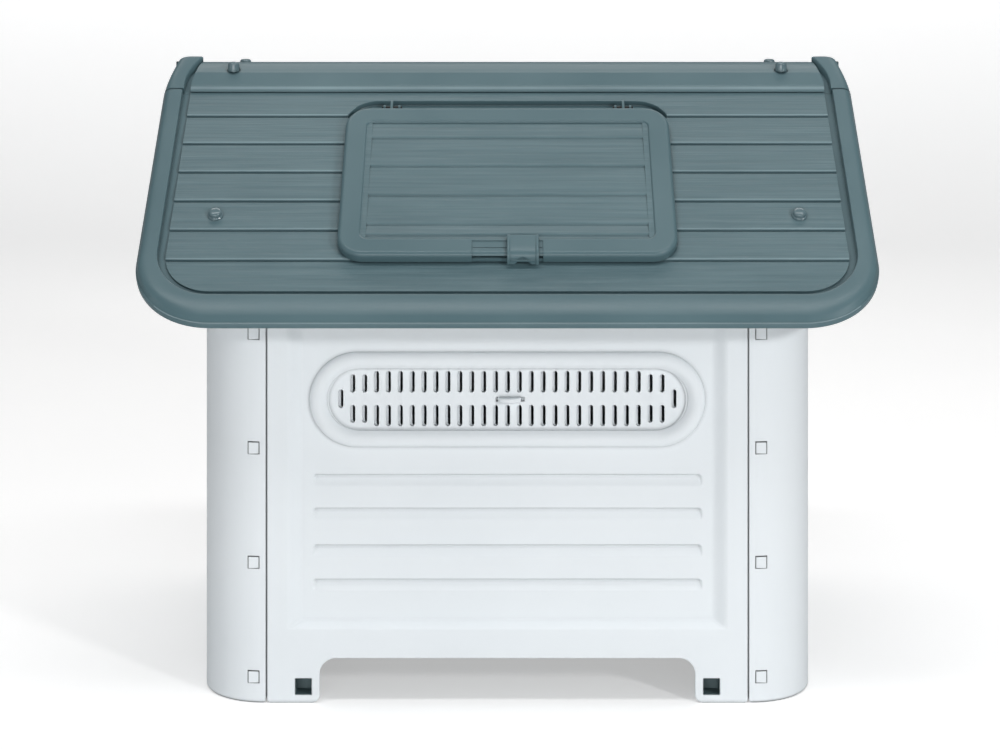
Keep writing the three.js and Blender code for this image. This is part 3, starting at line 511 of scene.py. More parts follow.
def pocket():
    """The wide soft-sided recess of a side wall, open at its top."""
    steps = 10
    loops = []
    for i in range(steps + 1):
        t = i / steps
        ease = t * t * (3 - 2 * t)
        x = 222.5 - 17 * t
        low = 73.0 + 9.5 * t
        loops.append(flat(rounded_box(-x, x, low, WALL_TOP + 20, 2.5, 4)(), -FIELD_DEPTH * ease))
    edge = loops[0]
    return loft([[(x, y, 5) for x, y, _ in edge], *loops])


def groove(top, half_x=197.0):
    """A groove with a steep upper side and a long sloping lower side."""
    outer = rounded_box(-half_x, half_x, top - 13, top, 3.5, 5)()
    middle = rounded_box(-half_x + 1.2, half_x - 1.2, top - 11.5, top - 0.5, 3.2, 5)()
    inner = rounded_box(-half_x + 4, half_x - 4, top - 4, top - 1.6, 1.1, 5)()
    z = -FIELD_DEPTH
    return loft([flat(outer, z + 3), flat(outer, z), flat(middle, z - 0.5), flat(inner, z - 3.6)])


def vent_oval(half_x, half_z):
    """An oval with round ends about the vent's middle, as a function of how far it is drawn in."""

    def outline(inset=0.0):
        r = half_z - inset
        reach = half_x - half_z
        return arc(reach, VENT_Z, r, -90, 90, 32) + arc(-reach, VENT_Z, r, 90, 270, 32)

    return outline


def vent_ring():
    """The rounded ring that stands out of the field round a vent."""
    profile = [(0, -3), (0, 0), (0.5, 1.8), (1.7, 3.6), (3.8, 5.1), (6.6, 6.0), (9.4, 6.1), (12.2, 5.3)]
    profile += [(14.4, 3.8), (16.0, 2.2), (17.1, 1.2), (17.6, 0.2), (17.6, -3)]
    outline = vent_oval(RING_X, RING_HALF)
    return loft([flat(outline(inset), z - FIELD_DEPTH) for inset, z in profile], ring=True)


def vent_slots(joined=False):
    """Prisms for the slots of a vent. A shutter's two rows are joined, apart from beside its knob."""
    outlines = [upright_slot(x, *END_SLOT, SLOT_HALF) for x in (-END_SLOT_X, END_SLOT_X)]
    for column in range(-SLOT_COLUMNS, SLOT_COLUMNS + 1):
        x = column * SLOT_PITCH
        short = 3.4 if abs(column) >= SLOT_COLUMNS - 1 else 0
        (low, below), (above, high) = SLOT_ROWS
        ends = [(low + short, below), (above, high - short)]
        if joined and abs(column) > 1:
            ends = [(low + short, high - short)]
        outlines += [upright_slot(x, *pair, SLOT_HALF) for pair in ends]
    return several([prism(outline, -30, 0) for outline in outlines])


def snap_flange():
    """The curved flange behind the gable wall's return, with a tab in each of its windows, at +X."""
    thickness, start, clear = 3, 232, 8
    cx, cy = END_X - CORNER, -SIDE_Y + CORNER
    outer = CORNER - FLANGE_GAP
    inner = outer - thickness
    plan = [(start, cy - outer)] + arc(cx, cy, outer, -90, 0, 20)
    plan += arc(cx, cy, inner, 0, -90, 20) + [(start, cy - inner)]
    band = keep(prism(plan, clear, WALL_TOP - clear), block(0, 268, -FAR, 0, 0, WALL_TOP))
    link = block(start, WALL_X, -SIDE_Y + SHEET - 1, cy - inner, clear, WALL_TOP - clear)
    return union(band, link, *[snap_tab(z) for z in SNAP_HEIGHTS])


def snap_tab(z):
    """The tab that fills a snap window, a little short of its edges and its face."""
    x0, x1 = SNAP_X[0] + 0.8, SNAP_X[1] - 0.8
    low, high = z - SNAP_HALF + 0.4, z + SNAP_HALF - 1.2
    return moved(slab(rounded_box(x0, x1, low, high, 0.6, 3), -FLANGE_GAP - 1.4, -0.9, 0.4), ON_WALL)


def peg_hole(x):
    """A square hole with a chamfered mouth."""
    hole = rounded_box(x - PEG_HALF, x + PEG_HALF, PEG_Z - PEG_HALF, PEG_Z + PEG_HALF, 0.8, 3)
    depths = ((-0.9, 0.5), (-0.5, -0.3), (0, -1.0), (0, -PEG_DEPTH))
    return loft([flat(hole(inset), z) for inset, z in depths])


def side_wall():
    skin = slab(side_outline, -SHEET, 0, 0.8, 0.6)
    backing = block(-226, 226, 66, WALL_TOP, -BACK_DEPTH, -SHEET + 1)
    body = cut(union(skin, backing), pocket())
    body = cut(body, *[groove(top) for top in GROOVE_TOPS])
    body = union(body, vent_ring())
    plate = vent_oval(PLATE_X, PLATE_HALF)
    edge = [(0, 5), (0, -PLATE_DEPTH + 0.6), (0.6, -PLATE_DEPTH)]
    body = cut(body, loft([flat(plate(inset), z) for inset, z in edge]))
    body = cut(body, vent_slots(), prism(rounded_box(*KNOB_SLOT, 1.2, 4)(), -30, 0))
    for way in (-1, 1):
        # Each rail is an L: a web, and a lip that the shutter slides behind.
        near = VENT_Z + way * 34.0
        for inner, front in ((near, 1), (near - way * 4, -2.8)):
            low, high = sorted((inner, near + way * 3.5))
            body = union(body, block(-RAIL_X, RAIL_X, low, high, -BACK_DEPTH - 5, -BACK_DEPTH + front))
    body = union(body, block(-200, 200, *LEDGE_Z, -17, -SHEET + 1))
    grown, pegs = PEG_HALF + 2.5, (-PEG_X, PEG_X)
    low, high = PEG_Z - grown, PEG_Z + grown
    body = union(body, *[block(x - grown, x + grown, low, high, -PEG_DEPTH - 3, -1) for x in pegs])
    body = moved(cut(body, *[peg_hole(x) for x in pegs]), ON_WALL)
    flange = snap_flange()
    body = union(body, flange, copied(flange, MIRROR_X))

    # Painted shade: the faces inside each peg hole take the dark floor plastic.
    def peg_hole_painted_shade(centre, normal):
        reach = max(abs(abs(centre.x) - PEG_X), abs(centre.z - PEG_Z))
        return reach < PEG_HALF + 0.1 and 1.2 < centre.y + SIDE_Y < PEG_DEPTH + 1

    paint(body, peg_hole_painted_shade)
    return body


def vent_shutter():
    """A slotted plate that slides behind the vent, with a half-moon thumb tab."""
    z = -BACK_DEPTH - 0.4
    plate = slab(rounded_box(-176, 176, VENT_Z - 33.6, VENT_Z + 33.6, 4, 4), z - 2, z, 0.3, 0.3, 2)
    plate = cut(plate, moved(vent_slots(joined=True), shift(SLOT_SHIFT, 0, 0)))
    x0, x1, middle = -9.4, 14.0, 2.3
    half = (x1 - x0) / 2
    reach = PLATE_DEPTH - 1
    turns = [math.pi * i / 20 for i in range(21)]
    front = [(middle + half * math.cos(a), -reach + 8 * math.sin(a)) for a in turns]
    tab = [(x1, z - 1), *front, (x0, z - 1)]

    def tab_outline(inset=0.0):
        share = 1 - inset / half
        return [(middle + (x - middle) * share, z + (y - z) * (1 - inset / 12)) for x, y in tab]

    # The tab lies level: its outline in x and z is raised along y.
    level = Matrix(((1, 0, 0, 0), (0, 0, 1, 0), (0, 1, 0, 0), (0, 0, 0, 1)))
    body = moved(slab(tab_outline, 300.6, 304.7, 0.7, 0.7, 3), level)
    body.data.flip_normals()
    return moved(union(plate, body), ON_WALL)


# ---------------- gable walls


def slope_z(y, h):
    """Height above ground, over distance y from the ridge line, of the plane h over the planks."""
    return LIP_Z + h / COS - (abs(y) - LIP_Y) * math.tan(SLOPE)


def under_roof(h, top_z):
    """A tool that fills everything under the plane h over the planks, with a flat top at top_z."""
    shoulder = LIP_Y - (top_z - slope_z(LIP_Y, h)) / math.tan(SLOPE)
    eave = slope_z(FAR, h)
    return along_x(mirrored([(FAR, -10), (FAR, eave), (shoulder, top_z)]), -FAR, FAR)


ROOF_BOLT_X, ROOF_BOLT_T = 301.0, 182.0
RIDGE_BOLTS = [(301, -18), (-301, -18), (292, 18), (-292, 18)]
RIDGE_SEAT_Z = 613.0
RIDGE_DRILL = (560, 640)  # from below the ridge's nuts to above its bolts
BOLT_HOLE = 2.9
DOOR_X, DOOR_SILL, DOOR_SPRING = 135.0, 62.0, 290.0
WALL_TOP_H = -SHEET - 0.5
APEX_Z = 604


def base_arch():
    """In Y and Z, the opening under a gable wall between its feet."""
    half, corner_z = 120, ARCH_TOP - ARCH_RADIUS
    corner = arc(half - ARCH_RADIUS, corner_z, ARCH_RADIUS, 0, 90, 10)
    return mirrored([(half + 0.6, -5), (half, corner_z), *corner])


def doorway(half, sill):
    return [(-half, sill), (half, sill)] + arc(0, DOOR_SPRING, half, 0, 180, 40)


def gable_plan(inset=0.0):
    """The gable wall in plan at +X: end face, rounded corners and returns to the seams."""
    cx, cy = END_X - CORNER, -SIDE_Y + CORNER
    outer = CORNER - inset
    inner = CORNER - SHEET + inset
    stub = SEAM_X + HALF_SEAM + inset
    lower = [(stub, -SIDE_Y + inset)] + arc(cx, cy, outer, -90, 0, 24)
    upper = [(x, -y) for x, y in reversed(lower)]
    inside = arc(cx, -cy, inner, 0, 90, 24) + [(stub, SIDE_Y - SHEET + inset)]
    return lower + upper + inside + [(x, -y) for x, y in reversed(inside)]


def gable_wall(front):
    """A gable wall at +X, with its bolt ledge under the roof, floor ledge and snap windows."""
    body = keep(slab(gable_plan, 0, 620, 0, 2.5), under_roof(WALL_TOP_H, APEX_Z))
    ledge = keep(block(284, END_X - 1, -211, 211, 400, 620), under_roof(WALL_TOP_H, APEX_Z))
    ledge = cut(ledge, under_roof(WALL_TOP_H - 4, APEX_Z - 4))
    body = union(body, ledge, block(END_X - 20, END_X - 1, -150, 150, *LEDGE_Z))
    windows = []
    for z in SNAP_HEIGHTS:
        windows += [block(*SNAP_X, y - 5, y + 5, z - SNAP_HALF, z + SNAP_HALF) for y in (-SIDE_Y, SIDE_Y)]
    body = cut(body, several(windows), along_x(base_arch(), END_X - 12, END_X + 10))
    holes = [round_bar(x, y, BOLT_HOLE, *RIDGE_DRILL) for x, y in RIDGE_BOLTS if x > 0]
    left = moved(round_bar(ROOF_BOLT_X, -ROOF_BOLT_T, BOLT_HOLE, -30, 10), ON_SLOPE)
    body = cut(body, several([*holes, left, copied(left, MIRROR_Y)]))
    if front:
        collar = along_x(doorway(DOOR_X + 3, DOOR_SILL - 3), END_X - SHEET - 10, END_X - 1)
        body = cut(union(body, collar), along_x(doorway(DOOR_X, DOOR_SILL), END_X - 40, END_X + 10))
    else:
        # The same grooves as a side wall, cut into the outside of the end face.
        for top in GROOVE_TOPS:
            body = cut(body, moved(groove(top, 150.0), shift(END_X + FIELD_DEPTH + 0.9, 0, 0) @ FACING_X))
    return body


def floor_panel():
    """A tray on ribs, with a shallow drain channel round it."""
    half_x, half_y, top = 298, 226, 58.8
    outline = rounded_box(-half_x, half_x, -half_y, half_y, 52, 10)
    ribs = [block(-260, 260, y - 2, y + 2, 47, top - 1) for y in (-120, 0, 120)]
    body = union(slab(outline, top - 3, top, 1.2, 0.6), *ribs)
    channel = ((14, 1), (14, -0.8), (20, -0.8), (20, 1))
    return cut(body, loft([flat(outline(inset), top + z) for inset, z in channel], ring=True))


# ---------------- roof panels
# Local x runs along the ridge, -y down the slope from the ridge cap's lip and z square to the planks.

PLANK_LINES = (36.6, 78.3, 120.1, 161.5, 202.5, 243.5)
PLANK_END = 346.0
RIM_IN_X, RIM_IN_T = 354.0, 293.0
EAVE_WIDTH = 34.0  # of the rim, down the slope
PLANK_LIFT = 0.9  # a plank lies this far below the slope at its top and above it at its lower lip
STEP = 2.2  # depth under a plank's lower lip
# The round of a lip, as distances before its edge and how far the plank has dropped there.
PLANK_LIP = ((3.4, 0), (2.2, 0.1), (1.3, 0.4), (0.6, 0.85))
TONGUE_X, TONGUE_T = 337.0, 14.0
CHANNEL = 2.4  # depth of the channel between the planks and the rim
PLANK_FOOT = 284.8  # distance down the slope at which the planks end
INNER_X, INNER_T = 298.0, 234.0  # centre of the rim's inner corner, across and down the slope
# The rim's outer corner is an arc: its centre across and down the slope, and its radius.
RIM_CORNER_X, RIM_CORNER_T, RIM_CORNER = 293.0, 245.0, 82.0


def down(points):
    """Points given as distance down the slope and height over the planks, in local y and z."""
    return [(-t, h) for t, h in points]


def eave_outline(half_x, drop, centre_t, radius):
    """A panel's outline from above: square at the ridge, with round lower corners."""
    corner = arc(INNER_X, -centre_t, radius, 0, -90, 18)
    corner[0], corner[-1] = (half_x, corner[0][1]), (corner[-1][0], -drop)
    return mirrored([(half_x, 0), *corner])


def clapboard(lines, start, end, base, low=-PLANK_LIFT, high=PLANK_LIFT, step=-STEP):
    """The section of overlapping planks, with a rounded lower lip on each, down to the plane base."""
    top = [(start, low)]
    for line in lines:
        top += [(line - before, high - drop) for before, drop in PLANK_LIP]
        top += [(line - 0.15, (high + step) / 2 - 0.5), (line, step), (line + 1.5, step), (line + 2.0, low)]
    top.append((end, high))
    return down(top + [(end, base), (start, base)])


def paint(obj, choose):
    """Gives each face the material whose place in the piece's list choose(centre, normal) returns."""
    for face in obj.data.polygons:
        face.material_index = choose(face.center, face.normal)


# Sections of the rim, as distance outwards and height over the planks: from the inner foot over the
# top and back underneath. They have equally many points, as one turns into the other at a corner.
SIDE_RIM = [(0, -4), (0, 4.6), (0.5, 5.5), (1.5, 6), (9, 6.1)]
SIDE_RIM += bezier((9, 6.1), (16, 6.1), (20, 3.5), (20, -3.2), 12)
SIDE_RIM += [(21.0, -3.3), (21.3, -4), (21.1, -8.4), (18.6, -8.4), (17.6, -2.6)]
SIDE_RIM += [(15.5, 1.6), (10, 3), (3, 3), (3, -4)]
EAVE_RIM = [(0, -4), (0, 4.6), (0.5, 5.5), (1.5, 6), (6, 6)]
EAVE_RIM += bezier((6, 6), (13, 5.9), (20, 4.9), (26, 2.9), 11)
EAVE_RIM += [(32.3, -0.1), (33.9, 0.3), (34.8, -0.3), (36.5, -3.6), (34.6, -5.3), (30.4, -2.2)]
EAVE_RIM += [(21, 1.3), (12, 3), (3, 3), (3, -4)]


def rim_station(inner, outer, share):
    """The rim's section between an inner and an outer point; share runs from the side to the eave."""
    (x0, t0), (x1, t1) = inner, outer
    gap = math.hypot(x1 - x0, t1 - t0)
    along = ((x1 - x0) / gap, (t1 - t0) / gap)
    loop = []
    for (a0, h0), (a1, h1) in zip(SIDE_RIM, EAVE_RIM):
        reach = gap * (a0 / (ROOF_X - RIM_IN_X) * (1 - share) + a1 / EAVE_WIDTH * share)
        loop.append((x0 + along[0] * reach, -(t0 + along[1] * reach), h0 * (1 - share) + h1 * share))
    return loop


def panel_rim():
    """The raised rim round a roof panel, from the ridge down one side, along the eave and up again."""
    stations = [((RIM_IN_X, t), (ROOF_X, t), 0.0) for t in (1.2, 80, 160, 225)]
    steps = 24
    for i in range(steps + 1):
        a = math.pi / 2 * i / steps
        inner = (INNER_X + (RIM_IN_X - INNER_X) * math.cos(a), INNER_T + (RIM_IN_T - INNER_T) * math.sin(a))
        outer = (RIM_CORNER_X + RIM_CORNER * math.cos(a), RIM_CORNER_T + RIM_CORNER * math.sin(a))
        share = i / steps
        stations.append((inner, outer, share * share * (3 - 2 * share)))
    stations += [((x, RIM_IN_T), (x, RIM_IN_T + EAVE_WIDTH), 1.0) for x in (200, 100)]
    other = [((-i[0], i[1]), (-o[0], o[1]), share) for i, o, share in reversed(stations)]
    return loft([rim_station(*station) for station in stations + other])


HINGE_X, HINGE_T, HINGE_H = 125.0, 24.0, 0.0
PIN_RADIUS = 1.6
OPENING_X, OPENING_TOP, OPENING_BOTTOM = 150.0, 42.0, 232.0
PINS_AT = (-HINGE_X, HINGE_X)
SEAT_T = 14.0


def hatch_seat(panel):
    """The opening of the roof hatch, with its collar, hinge gutter, lugs and the latch's keeper."""
    gutter = block(-173, 173, -OPENING_TOP, -12, -9, -1.5)
    seat_plan = rounded_box(-174, 174, -110, -SEAT_T, 35, 14)
    edge = [(-1.2, 3), (-1.2, 1.2), (-0.5, -0.1), (0, -0.9), (0, -5.2), (0.8, -6)]
    seat = loft([flat(seat_plan(inset), z) for inset, z in edge])
    seat = keep(seat, block(-FAR, FAR, -OPENING_TOP + 3, 0, -20, 20))
    body = cut(union(panel, gutter), seat)
    wide = OPENING_X + 3
    collar = slab(rounded_box(-wide, wide, -OPENING_BOTTOM - 3, -OPENING_TOP + 3, 18), -3.9, 5, 1.0)
    keeper = slab(rounded_box(-33, -4, -238.5, -OPENING_BOTTOM, 0.6, 3), 3, 4.9, 0.5)
    body = union(body, collar, keeper)
    body = union(body, *[hinge_lug(x + aside) for x in PINS_AT for aside in (-8, 8)])
    opening = rounded_box(-OPENING_X, OPENING_X, -OPENING_BOTTOM, -OPENING_TOP, 15)
    return cut(body, prism(opening(), -20, 20))


def hinge_lug(x):
    """A thin upright lug with a round head and the hole for a hinge pin."""
    radius = 3.0
    outline = arc(-HINGE_T, HINGE_H, radius, 0, 180, 16)
    outline += [(-HINGE_T - radius, -8), (-HINGE_T + radius, -8)]
    body = along_x(outline, x - 1.2, x + 1.2)
    return cut(body, along_x(circle(-HINGE_T, HINGE_H, PIN_RADIUS + 0.05), x - 3, x + 3))


def roof_panel(with_hatch):
    inside = prism(eave_outline(RIM_IN_X + 2, RIM_IN_T + 2, INNER_T, 60), -3.9, -CHANNEL)
    boards = along_x(clapboard(PLANK_LINES, -12, 320, -3.5), -FAR, FAR)
    radius = PLANK_END - INNER_X
    boards = keep(boards, prism(eave_outline(PLANK_END, PLANK_FOOT, PLANK_FOOT - radius, radius), -30, 30))
    tongue = block(-TONGUE_X, TONGUE_X, -6, TONGUE_T, -3.9, -1.2)
    body = union(inside, boards, panel_rim(), tongue)
    body = cut(body, *[round_bar(x, -ROOF_BOLT_T, BOLT_HOLE, -20, 20) for x in (-ROOF_BOLT_X, ROOF_BOLT_X)])
    if with_hatch:
        body = hatch_seat(body)

    def finish(centre, normal):
        """The planks are grained, and their lips and the bead along the eave take the paler plastic as a
        painted highlight.
        """
        within = abs(centre.x) < PLANK_END + 0.3 and centre.y > -PLANK_FOOT - 0.3
        if within and -STEP - 0.1 < centre.z < 1.1 and normal.z > 0.05:
            return 2 if normal.z < 0.985 and centre.z > 0.2 and normal.y < -0.1 else 1
        reach = math.hypot(max(abs(centre.x) - RIM_CORNER_X, 0), max(-centre.y - RIM_CORNER_T, 0))
        bead = reach > RIM_CORNER - 3.5 and -1.5 < centre.z < 0.5 and normal.z > 0.93
        return 2 if bead else 0

    paint(body, finish)
    return body


# ---------------- roof hatch

HATCH_TOP, HATCH_BOTTOM, HATCH_HEIGHT = 34.0, 247.0, 12.0
HATCH_RADIUS = 27.0
HATCH_LINES = (80.0, 121.5, 163.0, 204.0, 218.5)
HATCH_FIELD = HATCH_HEIGHT - 1.7  # height of the planks in the hatch's bordered field
FIELD_X, FIELD_Y = 150.0, (-224.4, -55.5)
TRACK_X, TRACK_DROP = 36.0, 0.8


def roof_hatch():
    outline = rounded_box(-HATCH_X, HATCH_X, -HATCH_BOTTOM, -HATCH_TOP, HATCH_RADIUS, 14)
    whole = slab(outline, 0.5, HATCH_HEIGHT, 5, 0.5, 8)
    # The strip the latch slides on lies a little lower and further in than the lip on each side.
    strip = moved(copied(whole), shift(0, TRACK_DROP, -TRACK_DROP))
    strip = keep(strip, block(-TRACK_X, TRACK_X, -260, -228, 0.6, 20))
    body = cut(whole, block(-TRACK_X, TRACK_X, -260, -228, -5, 20))
    body = union(body, block(-TRACK_X - 1, TRACK_X + 1, -229, -227, 2, HATCH_FIELD + 0.4), strip)
    plan = rounded_box(-FIELD_X, FIELD_X, *FIELD_Y, 8, 8)
    edge = [(-2.6, 13.5), (-2.2, 12.02), (-1.4, 11.86), (-0.7, 11.5), (-0.25, 10.95), (0.1, 10.45)]
    edge.append((0.7, HATCH_FIELD))
    body = cut(body, loft([flat(plan(inset), z) for inset, z in edge]))
    boards = clapboard(HATCH_LINES, 56, 223.5, 14, HATCH_FIELD - 1.0, HATCH_FIELD, HATCH_FIELD - 1.6)
    ends = (-FIELD_X + 6, FIELD_X - 6)
    body = cut(body, keep(along_x(boards, *ends), block(*ends, -223, -57.5, 5, 20)))
    hollow = rounded_box(-HATCH_X, HATCH_X, -HATCH_BOTTOM, -HATCH_TOP, HATCH_RADIUS, 10)
    body = cut(body, prism(hollow(3), -5, 8.5))
    # A slot for the latch's neck, and a fine groove along the latch's track.
    body = cut(body, block(-TRACK_X, TRACK_X, -260, -HATCH_BOTTOM + 4, 5, 8.2))
    body = cut(body, block(-TRACK_X + 1, TRACK_X - 1, -237.6, -236.4, 10.6, 14))
    arm = [(38, -2), (26, -3.2), (22.4, -3.3), (21, -2.4), (20.4, -0.5), (20.4, 7.4), (20.8, 8.2)]
    arm += [(21.8, 8.8), (24, 9.1), (38, 9.1)]
    for x in PINS_AT:
        body = union(body, along_x(down(arm), x - 1.3, x + 1.3))
        body = cut(body, along_x(circle(-HINGE_T, HINGE_H, PIN_RADIUS + 0.3), x - 9, x + 9))

    def on_field(centre, normal):
        within = abs(centre.x) < FIELD_X - 0.4 and FIELD_Y[0] + 0.4 < centre.y < FIELD_Y[1] - 0.5
        return within and HATCH_FIELD - 2.2 < centre.z < HATCH_FIELD + 0.1 and normal.z > 0.05

    paint(body, on_field)
    return body


def hatch_latch():
    """The slide of the hatch: a saddle over the front lip with raised edges, and a toe behind it."""
    x0, x1 = -0.5, 31.7
    top = HATCH_HEIGHT + 0.3
    outside = [(222, 1.6), (222.8, 3.0), (224.4, 3.6), (236, 3.7), (242, 3.5), (246, 2.2)]
    outside += [(248.8, 0.3), (250.6, -2.4), (251.9, -5.6), (252.8, -8.6)]
    inside = [(252.2, -9.2), (250.4, -9.0), (249.4, -6.2), (248.4, -3.6), (247.3, -1.3)]
    inside += [(245.5, -0.2), (243, 0), (222, 0)]
    sunk = 1.0
    # From each end inwards: a rounded edge, a raised border and the sunk face between the borders.
    half = [(0, 0.7), (0.4, 0.2), (1, 0), (2.4, 0), (3.4, sunk)]
    stations = [(x0 + x, drop) for x, drop in half] + [(x1 - x, drop) for x, drop in reversed(half)]
    loops = []
    for x, drop in stations:
        loop = []
        for index, (t, h) in enumerate(outside):
            depth = drop if drop < sunk or index > 2 else sunk * index / 3
            lean = max(0.0, min(1.0, (t - 242) / 9))
            loop.append((x, -(t - depth * lean), top + h - depth * (1 - lean)))
        loops.append(loop + [(x, -t, top + h) for t, h in inside])
    grip = cut(loft(loops), round_bar((x0 + x1) / 2, -263, 14, -5, 20, 60))
    # Behind the lip: a neck, a leg down from it and a toe at its foot.
    behind = ((-251, -239, 5.4, 7.8), (-241.5, -239, 0.9, 7.7), (-241.4, -235.8, 1.0, 2.6))
    return union(grip, *[block(x0 + 4, x1 - 4, *box) for box in behind])


# ---------------- ridge cap


def on_slope(t, h):
    """Distance from the ridge line and height of a point t down the slope and h over the planks."""
    return (LIP_Y + t * COS + h * SIN, LIP_Z - t * SIN + h * COS)


LIP_STRIP = ((-1.8, 2.7), (-5.2, 3.8))  # the stretch of the cap's lip that takes the paler plastic, a painted highlight
CAP_LIP = ((0, 0.3), (-0.1, 1.0), (-0.7, 1.9), *LIP_STRIP, (-6.4, 4.3), (-7.6, 4.6))
CAP_OUTER = [on_slope(t, h) for t, h in CAP_LIP]
CAP_OUTER += [(21.2, 611.8), (20, 612.6), (18.8, 613.3), (15, 615.8), (10, 618.8), (5, 621.0), (0, 622)]
CAP_INNER = [on_slope(-3, 0.3), on_slope(-24, 0.4), (9, 615), (0, 618)]
RIM_TOP_Z, RIM_HIGH = 628.0, 6.0  # top of the rim at the ridge, and its height over the planks
# At the ridge, the sheet and the rim's outside are drawn in by the first, and its inside by the second.
DRAWN_OUTER, DRAWN_INNER = 9.0, 16.0


def both_slopes(upper, lower):
    """A symmetric section from the points of its +Y half, read from the eave side to the ridge."""
    top = upper + [(-y, z) for y, z in reversed(upper[:-1])]
    return top + [(-y, z) for y, z in lower] + list(reversed(lower[:-1]))


def drawn_in(y, most, power):
    """How far the cap's ends are drawn in at a distance y from the ridge."""
    return most * max(0.0, 1 - abs(y) / 34) ** power


def cap_plan(half_x, start=60, steps=40):
    right = []
    for i in range(steps + 1):
        y = -start + 2 * start * i / steps
        right.append((half_x - drawn_in(y, DRAWN_OUTER, 1.2), y))
    return mirrored(right)


def cap_rim():
    """The rim over the ridge at +X: the panel rim's section, swept up one slope and down the other.

    Its arch is a circle that touches both slopes."""
    reach = (slope_z(0, RIM_HIGH) - RIM_TOP_Z) * COS / (1 - COS)  # radius of the arch at the rim's top
    centre_z = RIM_TOP_Z - reach
    turn = reach - RIM_HIGH
    end_t = -(LIP_Y - turn * SIN) / COS
    stations = [(on_slope(-0.9 + (end_t + 0.9) * i / 8, 0), (SIN, COS)) for i in range(9)]
    steps = 12
    for i in range(1, steps + 1):
        a = SLOPE * (1 - i / steps)
        lean = (math.sin(a), math.cos(a))
        stations.append(((turn * lean[0], centre_z + turn * lean[1]), lean))
    other = [((-y, z), (-ny, nz)) for (y, z), (ny, nz) in reversed(stations[:-1])]
    loops = []
    for (y, z), (ny, nz) in stations + other:
        loop = []
        for a, h in SIDE_RIM:
            # Under the arch, the section is cut off short of the arch's centre.
            room = (abs(y) / SIN if abs(y) > turn * SIN else turn) - 0.5
            depth = max(h, -room)
            place = y + ny * depth
            inner = RIM_IN_X - 1.2 - drawn_in(place, DRAWN_INNER, 2.0)
            outer = ROOF_X - drawn_in(place, DRAWN_OUTER, 1.2)
            loop.append((inner + (outer - inner) * a / (ROOF_X - RIM_IN_X), place, z + nz * depth))
        loops.append(loop)
    return loft(loops)


def ridge_cap():
    sheet = along_x(both_slopes(CAP_OUTER, CAP_INNER), -FAR, FAR)
    sheet = keep(sheet, prism(cap_plan(PLANK_END), 500, 700))
    filled = along_x(both_slopes(CAP_OUTER, [(38, 560), (0, 560)]), -341, 341)
    bosses = [round_bar(x, y, 9.5, 608.5, 622, 36) for x, y in RIDGE_BOLTS]
    sheet = union(sheet, keep(several(bosses), filled))
    # A lower strip joins the sheet to each rim and is the floor of the channel between them.
    upper = [on_slope(-0.3, -2.4), (20, 605.0), (8, 612.4), (0, 614.4)]
    lower = [on_slope(-0.3, -5.0), (20, 601.6), (8, 609.4), (0, 611.4)]
    strip = keep(along_x(both_slopes(upper, lower), -FAR, FAR), prism(cap_plan(RIM_IN_X + 2.5), 500, 700))
    strip = cut(strip, block(-325, 325, -60, 60, 500, 700))
    rim = cap_rim()
    body = union(sheet, strip, rim, copied(rim, MIRROR_X))
    seat = [(0, RIDGE_SEAT_Z), (7.2, RIDGE_SEAT_Z), (7.2, 618), (7.8, 619), (7.8, 640), (0, 640)]
    seats = several([moved(turned(seat), shift(x, y, 0)) for x, y in RIDGE_BOLTS])
    body = cut(body, seats, several([round_bar(x, y, BOLT_HOLE, *RIDGE_DRILL) for x, y in RIDGE_BOLTS]))
    low, high = (on_slope(t, h)[1] for t, h in LIP_STRIP)

    # Painted highlight: faces on the lip strip take the paler plastic.
    def finish(centre, normal):
        on_lip = low < centre.z < high and abs(centre.x) < PLANK_END and normal.z > 0
        return 1 if on_lip and 0.7 < abs(normal.y) < 0.9 else 0

    paint(body, finish)
    return body


# ---------------- bolts, gate


def plastic_bolt(flange, head, height, length):
    """A bolt that points down, with the underside of its head at z = 0."""
    crown = ((0, 0), (0.45, 0.12), (0.74, 0.55), (0.9, 1.3), (0.985, 2.4), (1, 3.2))
    profile = [(head * share, height - drop) for share, drop in crown]
    profile += [(head, 2.2), (head + 0.3, 1.75), (flange - 0.4, 1.3)]
    profile += [(flange, 0.9), (flange, 0.15), (flange - 0.2, 0), (2.5, 0)]
    z = 0.0
    while z > -length + 4:
        profile += [(2.5, z - 0.4), (2.1, z - 1.0), (2.5, z - 1.6)]
        z -= 2.0
    profile += [(2.2, -length + 0.6), (1.6, -length), (0, -length)]
    return turned(profile, 40)


def sleeve_nut(height):
    """A six-sided nut with a plain hole, standing on z = 0."""
    body = slab(lambda inset: circle(0, 0, 4.1 - inset, 6), 0, height, 0.4, 0.4, 2)
    return cut(body, round_bar(0, 0, 2.7, -5, height + 5))


GATE_X, GATE_HALF, GATE_BOTTOM = 308.0, 128.0, 66.0
LATCH_X, LATCH_Z = 314.3, 240.0
BAR_PITCH, RAIL_Z = 29.0, 180.0


